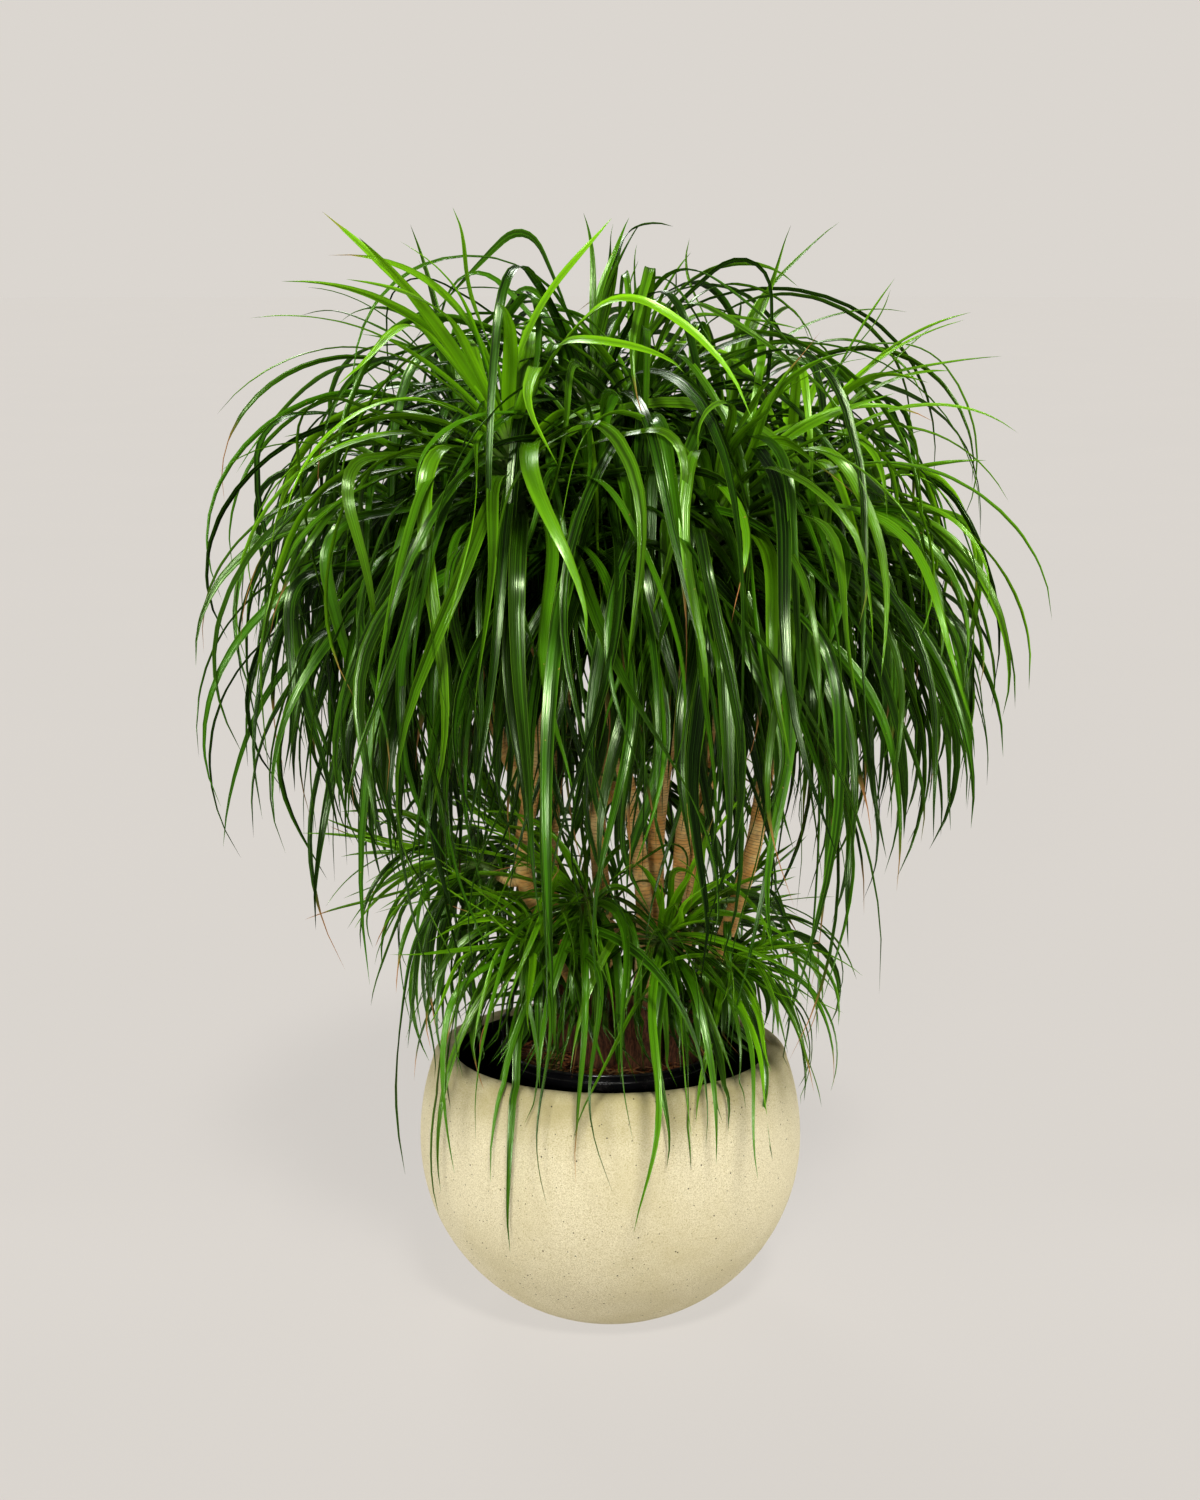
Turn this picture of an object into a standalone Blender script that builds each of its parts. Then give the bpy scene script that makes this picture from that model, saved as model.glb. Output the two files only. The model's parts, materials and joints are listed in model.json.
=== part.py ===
"""A dragon tree with several ringed stems and drooping strap leaves, in its grow pot and a stone planter.

Metres, +Z up. The origin is the middle of the planter's foot, on the floor. -Y is the front.
"""

import math
from collections import namedtuple

import bmesh
import bpy
import numpy as np
from mathutils import Matrix, Vector
from mathutils.bvhtree import BVHTree

# Running gap that meshes keep where two pieces touch.
GAP = 0.0003

# Planter: a fibre stone bowl with a rounded shoulder.
PLANTER_RADIUS = 0.253
PLANTER_HEIGHT = 0.351
PLANTER_WIDEST_Z = 0.228
PLANTER_FOOT_RADIUS = 0.106
PLANTER_SHOULDER_RADIUS = 0.018
PLANTER_SHOULDER_Z = 0.333
PLANTER_SHOULDER_REACH = 0.235
PLANTER_MOUTH_RADIUS = 0.205
PLANTER_WALL = 0.020
PLANTER_FLOOR = 0.030
PLANTER_SIDES = 32

# Grow pot: a black plastic container that stands loose in the planter.
POT_TOP_Z = 0.353
POT_RIM_RADIUS = 0.1460
POT_TOP_RADIUS = 0.1395
POT_FOOT_RADIUS = 0.1120
POT_WALL = 0.0028
POT_FLOOR = 0.0040
POT_RIM_DROP = 0.022
POT_RIM_STEP = 0.0018
POT_SIDES = 28
LUG_ANGLES = (168.0, 14.0)
LUG_HEIGHT = 0.032
LUG_WIDTH = 0.036
LUG_THICKNESS = 0.0034

# Potting soil: fills the grow pot to just under its rim.
SOIL_TOP_Z = 0.331
SOIL_MOUND = 0.005
SOIL_RINGS = 3

# Stems: ringed cane, swollen where it meets the soil.
STEM_FOOT_Z = 0.262
STEM_SIDES = 7
SHAFT_SIDES = 6
STEM_STEP = 0.050
CANE_RADIUS = 0.0118
CANE_TIP_RADIUS = 0.0100
TWIG_RADIUS = 0.0070
SWELL_FADE = 0.115
SWELL_HOLD = 0.018

# Leaves: long straps that rise, arch over and hang.
SEED = 41
GOLDEN_TURN = math.radians(137.508)
LEAF_STEPS = 40
LEAF_CUTS = (0.0, 0.15, 0.35, 0.55, 0.775, 1.0)
SHOOT_CUTS = (0.0, 0.20, 0.45, 0.70, 1.0)
LEAF_BEND = 0.68
LEAF_CREASE = 0.75
LEAF_SWING = 0.42
LEAF_KEEL = 0.0017
LEAF_ROOT_WIDTH = 0.55
LEAF_FULL_AT = 0.26
LEAF_TAPER_FROM = 0.42
LEAF_TAPER_POWER = 1.5
LEAF_FREE_FROM = 0.10
LEAF_CLEARANCE = 0.0011
NUDGES = (0, 5, -5, 10, -10, 16, -16, 23, -23, 31, -31, 40, -40, 50, -50)
SHORTENINGS = (1.0, 0.9, 0.78)
MOUTH_GUARD_Z = 0.368
MOUTH_GUARD_RADIUS = 0.226
DRAPE_FROM_Z = 0.43
DRAPE_CLEARANCE = 0.014

# Colours, linear.
STONE = (0.74, 0.69, 0.46)
BLACK_PLASTIC = (0.012, 0.012, 0.013)
PEAT = (0.085, 0.034, 0.018)
BARK = (0.33, 0.19, 0.095)
LEAF_GREEN = (0.045, 0.19, 0.020)

# Each stem: foot (x, y), radius of its swollen foot, then the points its cane passes through.
# A branch starts inside its stem and ends, as the stem does, at a leaf crown.
STEMS = {
    "stem_1": {
        "foot": (-0.022, -0.030),
        "swell": 0.030,
        "cane": [(-0.037, -0.035, 0.430), (-0.089, -0.050, 0.516), (-0.113, -0.060, 0.616),
                 (-0.100, -0.062, 0.720), (-0.090, -0.064, 0.860), (-0.108, -0.088, 1.015)],
        "branches": [
            [(-0.102, -0.061, 0.690), (-0.135, -0.040, 0.755), (-0.166, -0.016, 0.830), (-0.184, -0.004, 0.905)],
        ],
        "twigs": [
            [(-0.111, -0.059, 0.590), (-0.128, -0.056, 0.586), (-0.146, -0.052, 0.594)],
            [(-0.066, -0.044, 0.478), (-0.073, -0.062, 0.484), (-0.080, -0.078, 0.498)],
        ],
    },
    "stem_2": {
        "foot": (-0.060, 0.050),
        "swell": 0.029,
        "cane": [(-0.072, 0.068, 0.450), (-0.081, 0.080, 0.580), (-0.074, 0.082, 0.700),
                 (-0.060, 0.100, 0.820), (-0.046, 0.122, 0.940), (-0.034, 0.140, 1.085)],
        "branches": [
            [(-0.073, 0.084, 0.730), (-0.108, 0.104, 0.830), (-0.148, 0.130, 0.935), (-0.170, 0.150, 1.030)],
        ],
        "twigs": [
            [(-0.080, 0.078, 0.560), (-0.092, 0.098, 0.562), (-0.104, 0.116, 0.576)],
        ],
    },
    "stem_3": {
        "foot": (0.004, 0.038),
        "swell": 0.027,
        "cane": [(-0.002, 0.048, 0.450), (-0.015, 0.052, 0.600), (-0.015, 0.051, 0.719),
                 (-0.002, 0.050, 0.840), (0.010, 0.050, 0.950), (0.019, 0.052, 1.050)],
        "branches": [],
        "twigs": [
            [(-0.015, 0.052, 0.665), (-0.002, 0.074, 0.670), (0.008, 0.092, 0.684)],
        ],
    },
    "stem_4": {
        "foot": (0.040, -0.034),
        "swell": 0.029,
        "cane": [(0.042, -0.036, 0.430), (0.044, -0.042, 0.551), (0.032, -0.044, 0.651),
                 (0.012, -0.046, 0.760), (-0.003, -0.043, 0.850), (-0.008, -0.044, 0.930)],
        "branches": [],
        "twigs": [
            [(0.043, -0.039, 0.500), (0.018, -0.052, 0.512), (-0.010, -0.062, 0.540)],
            [(0.042, -0.037, 0.462), (0.050, -0.058, 0.474), (0.058, -0.078, 0.496)],
        ],
    },
    "stem_5": {
        "foot": (0.072, 0.030),
        "swell": 0.023,
        "cane": [(0.066, 0.014, 0.450), (0.060, 0.004, 0.560), (0.062, -0.002, 0.655),
                 (0.074, -0.024, 0.760), (0.092, -0.052, 0.860), (0.106, -0.076, 0.935)],
        "branches": [],
        "twigs": [],
    },
    "stem_6": {
        "foot": (0.050, 0.078),
        "swell": 0.026,
        "cane": [(0.078, 0.062, 0.450), (0.092, 0.042, 0.560), (0.100, 0.032, 0.650),
                 (0.125, 0.024, 0.755), (0.166, 0.024, 0.865), (0.197, 0.030, 0.965)],
        "branches": [
            [(0.086, 0.051, 0.505), (0.114, 0.066, 0.590), (0.130, 0.078, 0.690), (0.136, 0.104, 0.800),
             (0.141, 0.142, 0.920), (0.148, 0.168, 1.025)],
        ],
        "twigs": [
            [(0.080, 0.060, 0.462), (0.098, 0.080, 0.462), (0.114, 0.098, 0.474)],
        ],
    },
    "stem_7": {
        "foot": (0.094, -0.016),
        "swell": 0.023,
        "cane": [(0.124, -0.006, 0.437), (0.154, 0.000, 0.505), (0.186, 0.002, 0.610),
                 (0.202, 0.010, 0.705), (0.222, 0.030, 0.800), (0.244, 0.046, 0.885)],
        "branches": [],
        "twigs": [
            [(0.131, -0.004, 0.450), (0.136, -0.024, 0.450), (0.142, -0.042, 0.460)],
        ],
    },
}

# Each leaf crown: the end of a stem that it grows on, the length of its leafy shaft, its number of leaves,
# how long and how wide its grown and its youngest leaves are, how strongly they lean out of the tree, the
# share of its leaves that are young and stand, and the height of the hem below which none hangs.
Crown = namedtuple("Crown", "end shaft leaves length young_length width young_width lean fresh hem")
CROWNS = {
    "crown_1": Crown(("stem_1", "cane", 0), 0.165, 66, 0.57, 0.33, 0.0200, 0.0185, 0.45, 0.36, 0.63),
    "crown_2": Crown(("stem_1", "branches", 0), 0.145, 63, 0.50, 0.22, 0.0185, 0.0120, 0.35, 0.20, 0.59),
    "crown_3": Crown(("stem_2", "cane", 0), 0.150, 63, 0.64, 0.25, 0.0185, 0.0110, 0.45, 0.20, 0.64),
    "crown_4": Crown(("stem_2", "branches", 0), 0.150, 63, 0.54, 0.26, 0.0185, 0.0110, 0.40, 0.20, 0.62),
    "crown_5": Crown(("stem_3", "cane", 0), 0.160, 66, 0.60, 0.22, 0.0190, 0.0130, 0.20, 0.22, 0.66),
    "crown_6": Crown(("stem_4", "cane", 0), 0.130, 60, 0.54, 0.24, 0.0200, 0.0140, 0.60, 0.20, 0.62),
    "crown_7": Crown(("stem_5", "cane", 0), 0.155, 66, 0.51, 0.26, 0.0200, 0.0150, 0.50, 0.22, 0.61),
    "crown_8": Crown(("stem_6", "cane", 0), 0.160, 66, 0.43, 0.28, 0.0190, 0.0150, 0.20, 0.30, 0.61),
    "crown_9": Crown(("stem_6", "branches", 0), 0.150, 63, 0.53, 0.30, 0.0185, 0.0110, 0.30, 0.20, 0.63),
    "crown_10": Crown(("stem_7", "cane", 0), 0.145, 63, 0.37, 0.21, 0.0185, 0.0130, 0.15, 0.25, 0.60),
    "side_shoot_1": Crown(("stem_1", "twigs", 0), 0.060, 36, 0.25, 0.17, 0.0115, 0.0090, 0.35, 0.55, 0.20),
    "side_shoot_2": Crown(("stem_1", "twigs", 1), 0.055, 36, 0.28, 0.22, 0.0125, 0.0095, 0.45, 0.55, 0.20),
    "side_shoot_3": Crown(("stem_2", "twigs", 0), 0.060, 36, 0.29, 0.22, 0.0115, 0.0090, 0.30, 0.55, 0.20),
    "side_shoot_4": Crown(("stem_3", "twigs", 0), 0.065, 36, 0.32, 0.25, 0.0120, 0.0090, 0.10, 0.55, 0.20),
    "side_shoot_5": Crown(("stem_4", "twigs", 0), 0.055, 36, 0.28, 0.22, 0.0125, 0.0095, 0.40, 0.55, 0.20),
    "side_shoot_6": Crown(("stem_4", "twigs", 1), 0.060, 36, 0.31, 0.23, 0.0130, 0.0095, 0.50, 0.55, 0.20),
    "side_shoot_7": Crown(("stem_6", "twigs", 0), 0.060, 36, 0.28, 0.18, 0.0115, 0.0090, 0.30, 0.55, 0.20),
    "side_shoot_8": Crown(("stem_7", "twigs", 0), 0.060, 36, 0.26, 0.16, 0.0125, 0.0095, 0.20, 0.55, 0.20),
}
# Every third leaf of a crown is a solid blade.
SOLID_LEAF_EVERY = 3


def clear_scene():
    for thing in list(bpy.data.objects):
        bpy.data.objects.remove(thing)


def finish_of(name, colour, roughness):
    """A Principled material with the piece's colour and roughness."""
    finish = bpy.data.materials.get(name) or bpy.data.materials.new(name)
    finish.use_nodes = True
    shader = finish.node_tree.nodes["Principled BSDF"]
    shader.inputs["Base Color"].default_value = (*colour, 1.0)
    shader.inputs["Roughness"].default_value = roughness
    shader.inputs["Metallic"].default_value = 0.0
    return finish


def add_object(name, mesh, finish=None):
    piece = bpy.data.objects.new(name, mesh)
    bpy.context.scene.collection.objects.link(piece)
    if finish is not None:
        mesh.materials.append(finish)
    return piece


def mesh_from(name, points, faces):
    mesh = bpy.data.meshes.new(name)
    mesh.from_pydata([tuple(p) for p in points], [], [tuple(f) for f in faces])
    mesh.update()
    return mesh


def smooth(mesh, angle=35.0):
    mesh.shade_smooth()
    mesh.set_sharp_from_angle(angle=math.radians(angle))


def arc(centre, radius, start, end, count):
    """Points (r, z) on an arc, from start to end in degrees."""
    turns = np.radians(np.linspace(start, end, count))
    return [(centre[0] + radius * math.cos(a), centre[1] + radius * math.sin(a)) for a in turns]


def turned(name, profile, sides):
    """The solid that a closed (r, z) profile sweeps round the Z axis."""
    shape = bmesh.new()
    corners = [shape.verts.new((r, 0.0, z)) for r, z in profile]
    edges = [shape.edges.new(pair) for pair in zip(corners, corners[1:])]
    bmesh.ops.spin(shape, geom=corners + edges, axis=(0, 0, 1), cent=(0, 0, 0),
                   angle=math.tau, steps=sides, use_merge=True)
    bmesh.ops.remove_doubles(shape, verts=shape.verts, dist=1e-5)
    bmesh.ops.recalc_face_normals(shape, faces=shape.faces)
    mesh = bpy.data.meshes.new(name)
    shape.to_mesh(mesh)
    shape.free()
    return mesh


def join_all(piece, helpers, operation="UNION"):
    """Applies one Boolean of all the helpers to the piece, then removes the helpers."""
    group = bpy.data.collections.new(piece.name + "_helpers")
    for helper in helpers:
        bpy.context.scene.collection.objects.unlink(helper)
        group.objects.link(helper)
    bpy.context.scene.collection.children.link(group)
    cut = piece.modifiers.new(operation.title(), "BOOLEAN")
    cut.operation = operation
    cut.operand_type = "COLLECTION"
    cut.collection = group
    cut.solver = "EXACT"
    bpy.context.view_layer.update()
    graph = bpy.context.evaluated_depsgraph_get()
    result = bpy.data.meshes.new_from_object(piece.evaluated_get(graph))
    piece.modifiers.clear()
    piece.data = result
    for helper in helpers:
        bpy.data.objects.remove(helper)
    bpy.data.collections.remove(group)


def keep_main_body(mesh):
    """Drops loose scraps, and the walls of any hollow that a union has sealed inside."""
    shape = bmesh.new()
    shape.from_mesh(mesh)
    unseen = set(shape.verts)
    bodies = []
    while unseen:
        body, front = set(), [unseen.pop()]
        while front:
            vertex = front.pop()
            body.add(vertex)
            near = {edge.other_vert(vertex) for edge in vertex.link_edges} & unseen
            unseen -= near
            front += near
        bodies.append(body)
    bodies.sort(key=len)
    bmesh.ops.delete(shape, geom=[v for body in bodies[:-1] for v in body], context="VERTS")
    shape.to_mesh(mesh)
    shape.free()


def planter_radius_at(z):
    """Outer radius of the planter's side at height z: an ellipse below its widest line, a taller one above."""
    if z <= PLANTER_WIDEST_Z:
        fall = PLANTER_WIDEST_Z / math.sqrt(1 - (PLANTER_FOOT_RADIUS / PLANTER_RADIUS) ** 2)
    else:
        rise = PLANTER_SHOULDER_Z - PLANTER_WIDEST_Z
        fall = rise / math.sqrt(1 - (PLANTER_SHOULDER_REACH / PLANTER_RADIUS) ** 2)
    share = min(1.0, abs(z - PLANTER_WIDEST_Z) / fall)
    return PLANTER_RADIUS * math.sqrt(1 - share * share)


def build_planter():
    first_turn = math.asin(PLANTER_FOOT_RADIUS / PLANTER_RADIUS)
    lower = []
    for turn in np.linspace(first_turn, math.pi / 2, 8):
        z = PLANTER_WIDEST_Z * (1 - math.cos(turn) / math.cos(first_turn))
        lower.append((planter_radius_at(z), z))
    upper_z = np.linspace(PLANTER_WIDEST_Z, PLANTER_SHOULDER_Z, 3)[1:-1]
    upper = [(planter_radius_at(z), z) for z in upper_z]
    shoulder_centre = (PLANTER_SHOULDER_REACH - PLANTER_SHOULDER_RADIUS, PLANTER_SHOULDER_Z)
    shoulder = arc(shoulder_centre, PLANTER_SHOULDER_RADIUS, 0, 90, 4)
    lip_radius = 0.006
    lip = arc((PLANTER_MOUTH_RADIUS + lip_radius, PLANTER_HEIGHT - lip_radius - 0.001), lip_radius, 110, 180, 3)
    inner_z = np.linspace(PLANTER_SHOULDER_Z - 0.012, PLANTER_FLOOR + 0.035, 3)
    inner = [(planter_radius_at(z) - PLANTER_WALL, z) for z in inner_z]
    profile = [(0.0, 0.0), *lower, *upper, *shoulder, *lip, *inner, (0.125, PLANTER_FLOOR), (0.0, PLANTER_FLOOR)]
    mesh = turned("planter", profile, PLANTER_SIDES)
    smooth(mesh)
    return add_object("planter", mesh, finish_of("planter_stone", STONE, 0.9))


def pot_inner_radius_at(z):
    share = (z - PLANTER_FLOOR) / (POT_TOP_Z - PLANTER_FLOOR)
    return POT_FOOT_RADIUS + (POT_TOP_RADIUS - POT_FOOT_RADIUS) * share - POT_WALL


def lug(name, angle, finish):
    """A flat grip lug that stands up from the grow pot's rim, with rounded corners."""
    half = LUG_WIDTH / 2
    corner = half * 0.55
    sunk = 0.010
    outline = [(-half, -sunk), (half, -sunk)]
    outline += arc((half - corner, LUG_HEIGHT - corner), corner, 0, 90, 4)
    outline += arc((-half + corner, LUG_HEIGHT - corner), corner, 90, 180, 4)
    mid_radius = POT_RIM_RADIUS - LUG_THICKNESS / 2 - 0.0008
    points = []
    for side in (-0.5, 0.5):
        points += [(mid_radius + side * LUG_THICKNESS, u, POT_TOP_Z + v) for u, v in outline]
    count = len(outline)
    faces = [tuple(reversed(range(count))), tuple(range(count, 2 * count))]
    faces += [(i, (i + 1) % count, count + (i + 1) % count, count + i) for i in range(count)]
    mesh = mesh_from(name, points, faces)
    mesh.transform(Matrix.Rotation(math.radians(angle), 4, "Z"))
    return add_object(name, mesh, finish)


def build_grow_pot():
    floor_z = PLANTER_FLOOR + GAP
    under_rim = POT_TOP_Z - POT_RIM_DROP
    profile = [
        (0.0, floor_z),
        (POT_FOOT_RADIUS, floor_z),
        (POT_TOP_RADIUS - 0.0015, under_rim),
        (POT_RIM_RADIUS - 0.0010, under_rim + 0.0015),
        (POT_RIM_RADIUS, POT_TOP_Z - 0.5 * POT_RIM_DROP),
        (POT_RIM_RADIUS - POT_RIM_STEP, POT_TOP_Z - 0.42 * POT_RIM_DROP),
        (POT_RIM_RADIUS - POT_RIM_STEP * 0.8, POT_TOP_Z - 0.0015),
        (POT_RIM_RADIUS - 0.0035, POT_TOP_Z),
        (POT_TOP_RADIUS, POT_TOP_Z - 0.0012),
        (pot_inner_radius_at(POT_TOP_Z - 0.004), POT_TOP_Z - 0.004),
        (pot_inner_radius_at(floor_z + POT_FLOOR), floor_z + POT_FLOOR),
        (0.0, floor_z + POT_FLOOR),
    ]
    finish = finish_of("grow_pot_plastic", BLACK_PLASTIC, 0.35)
    pot = add_object("grow_pot", turned("grow_pot", profile, POT_SIDES), finish)
    join_all(pot, [lug(f"lug_{n}", angle, finish) for n, angle in enumerate(LUG_ANGLES)])
    smooth(pot.data)
    return pot


def soil_height(x, y):
    """Top of the soil: a low mound with soft lumps."""
    away = math.hypot(x, y) / POT_TOP_RADIUS
    lumps = math.sin(61 * x + 1.3) * math.cos(53 * y) + 0.6 * math.sin(97 * x - 71 * y)
    return SOIL_TOP_Z + SOIL_MOUND * (1 - away * away) + 0.0016 * lumps * (1 - away ** 6)


def build_soil():
    """Fills the grow pot, and has one plain hole for the foot of each stem."""
    bottom = PLANTER_FLOOR + GAP + POT_FLOOR + GAP
    rim = pot_inner_radius_at(SOIL_TOP_Z) - GAP - 0.0004
    foot = pot_inner_radius_at(bottom) - GAP - 0.0004
    across = np.linspace(rim, 0.0, SOIL_RINGS + 1)[:-1]
    profile = [(0.0, bottom), (foot, bottom)] + [(r, SOIL_TOP_Z) for r in across] + [(0.0, SOIL_TOP_Z)]
    mesh = turned("potting_soil", profile, POT_SIDES)
    for vertex in mesh.vertices:
        if vertex.co.z > SOIL_TOP_Z - 1e-4:
            vertex.co.z = soil_height(vertex.co.x, vertex.co.y)
    soil = add_object("potting_soil", mesh, finish_of("peat", PEAT, 0.95))
    cutters = []
    for name, stem in STEMS.items():
        x, y = stem["foot"]
        levels = [(x, y, STEM_FOOT_Z - GAP), (x, y, SOIL_TOP_Z + 0.05)]
        radii = [stem["swell"] + 2 * GAP] * 2
        cutters.append(add_object(name + "_hole", tube_mesh(name + "_hole", levels, radii)))
    join_all(soil, cutters, "DIFFERENCE")
    return soil


def rounded_path(points, step):
    """A smooth curve through the points, read off about every step, with its unit directions."""
    knots = [np.array(p, float) for p in points]
    knots = [2 * knots[0] - knots[1], *knots, 2 * knots[-1] - knots[-2]]
    out = []
    for a, b, c, d in zip(knots, knots[1:], knots[2:], knots[3:]):
        count = max(1, round(np.linalg.norm(c - b) / step))
        for t in np.arange(count) / count:
            out.append(0.5 * (2 * b + (c - a) * t + (2 * a - 5 * b + 4 * c - d) * t ** 2
                              + (3 * b - a - 3 * c + d) * t ** 3))
    out.append(knots[-2])
    out = np.array(out)
    along = np.gradient(out, axis=0)
    along[-1] = out[-1] - out[-2]
    return out, along / np.linalg.norm(along, axis=1)[:, None]


def tube_mesh(name, points, radii, along=None, sides=STEM_SIDES):
    """A round tube through the points, with flat ends square to its line."""
    points = np.array(points, float)
    if along is None:
        along = np.tile(points[-1] - points[0], (len(points), 1))
        along /= np.linalg.norm(along, axis=1)[:, None]
    side = Vector((1, 0, 0))
    rings = []
    for place, way, radius in zip(points, along, radii):
        way = Vector(way)
        side = (side - way * side.dot(way)).normalized()
        other = way.cross(side)
        for k in range(sides):
            turn = math.tau * k / sides
            rings.append(Vector(place) + (side * math.cos(turn) + other * math.sin(turn)) * float(radius))
    faces = [tuple(reversed(range(sides)))]
    for low in range(0, len(rings) - sides, sides):
        high = low + sides
        for k in range(sides):
            nxt = (k + 1) % sides
            faces.append((low + k, low + nxt, high + nxt, high + k))
    faces.append(tuple(range(len(rings) - sides, len(rings))))
    return mesh_from(name, rings, faces)


def cane_radii(points, start, end, swell=None):
    """Radius at each point: slowly thinner towards the tip, and swollen at the foot."""
    radii = np.linspace(start, end, len(points))
    if swell is not None:
        above = np.clip((points[:, 2] - SOIL_TOP_Z - SWELL_HOLD) / SWELL_FADE, 0, 1)
        foot = (1 - above) ** 2 * (1 + 2 * above)
        radii = radii + (swell - radii) * foot
    return radii


def stem_lines(stem):
    """Every line of a stem as (kind, index, points, directions, radii); the main cane comes first."""
    x, y = stem["foot"]
    foot = [(x, y, STEM_FOOT_Z), (x, y, SOIL_TOP_Z + SWELL_HOLD * 0.6)]
    points, along = rounded_path(foot[1:] + stem["cane"], STEM_STEP)
    points = np.vstack([foot[0], points])
    along = np.vstack([(0, 0, 1), along])
    along[1] = (0, 0, 1)
    radii = cane_radii(points, CANE_RADIUS, CANE_TIP_RADIUS, stem["swell"])
    radii[:2] = stem["swell"]
    lines = [("cane", 0, points, along, radii)]
    for kind, start, end in (("branches", CANE_TIP_RADIUS, CANE_TIP_RADIUS * 0.95),
                             ("twigs", TWIG_RADIUS, TWIG_RADIUS * 0.95)):
        for n, course in enumerate(stem[kind]):
            points, along = rounded_path(course, STEM_STEP)
            lines.append((kind, n, points, along, cane_radii(points, start, end)))
    return lines


def build_stem(name, stem):
    finish = finish_of("bark", BARK, 0.85)
    pieces = []
    for kind, n, points, along, radii in stem_lines(stem):
        mesh = tube_mesh(f"{name}_{kind}_{n}", points, radii, along)
        pieces.append(add_object(f"{name}_{kind}_{n}", mesh, finish))
    main = pieces[0]
    if pieces[1:]:
        join_all(main, pieces[1:])
    main.name = name
    smooth(main.data, 60)
    return main


def crown_seat(crown):
    """Where a leaf crown sits: the end of its cane, branch or twig, that end's direction and its radius."""
    stem_name, kind, index = crown.end
    for line_kind, n, points, along, radii in stem_lines(STEMS[stem_name]):
        if (line_kind, n) == (kind, index):
            return points[-1], along[-1], radii[-1]
    raise KeyError(stem_name)


def ease(t):
    t = np.clip(t, 0, 1)
    return t * t * (3 - 2 * t)


def leaf_width_at(share):
    """Width of a leaf along its length, as a share of its widest: narrow at the root, pointed at the tip."""
    widen = LEAF_ROOT_WIDTH + (1 - LEAF_ROOT_WIDTH) * ease(share / LEAF_FULL_AT)
    past = np.clip((share - LEAF_TAPER_FROM) / (1 - LEAF_TAPER_FROM), 0, 1)
    return widen * (1 - past ** LEAF_TAPER_POWER)


def direction(turn, rise):
    return np.stack([np.cos(rise) * np.cos(turn), np.cos(rise) * np.sin(turn), np.sin(rise)], axis=-1)


def draped(points):
    """Pushes the part of a leaf that hangs past the planter's mouth out over its shoulder and side."""
    out = points.copy()
    for n, (x, y, z) in enumerate(points):
        reach = math.hypot(x, y)
        if z >= DRAPE_FROM_Z or reach < 1e-6:
            continue
        if z > PLANTER_SHOULDER_Z:
            share = (DRAPE_FROM_Z - z) / (DRAPE_FROM_Z - PLANTER_SHOULDER_Z)
            limit = 0.17 + (PLANTER_SHOULDER_REACH + DRAPE_CLEARANCE - 0.17) * ease(share)
        else:
            limit = planter_radius_at(max(z, 0.0)) + DRAPE_CLEARANCE
        if reach < limit:
            out[n, :2] *= limit / reach
    return out


def falls_in_the_mouth(points):
    reach = np.hypot(points[:, 0], points[:, 1])
    return bool(np.any((points[:, 2] < MOUTH_GUARD_Z) & (reach < MOUTH_GUARD_RADIUS)))


def leaf_line(start, turns, rises, swing, length, hem):
    """The centre points of a leaf along these turns and rises that swings a little and ends above its hem."""
    flat = np.stack([-np.sin(turns), np.cos(turns), np.zeros_like(turns)], axis=1)
    ways = direction(turns, rises) + flat * swing[:, None]
    ways /= np.linalg.norm(ways, axis=1)[:, None]
    steps = (ways[1:] + ways[:-1]) / (2 * LEAF_STEPS)
    points = np.vstack([start, start + np.cumsum(steps * length, axis=0)])
    while (falls_in_the_mouth(points) or points[:, 2].min() < hem) and length > 0.05:
        length *= 0.93
        points = np.vstack([start, start + np.cumsum(steps * length, axis=0)])
    return draped(points), flat


def leaf_frame(points, flat, roll):
    """Side directions and upper face normals along a leaf, rolled about its line."""
    ways = np.gradient(points, axis=0)
    ways /= np.linalg.norm(ways, axis=1)[:, None]
    flat = flat - ways * np.sum(ways * flat, axis=1)[:, None]
    flat /= np.linalg.norm(flat, axis=1)[:, None]
    face = np.cross(ways, flat)
    roll = roll[:, None]
    return flat * np.cos(roll) + face * np.sin(roll), face * np.cos(roll) - flat * np.sin(roll)


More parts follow.
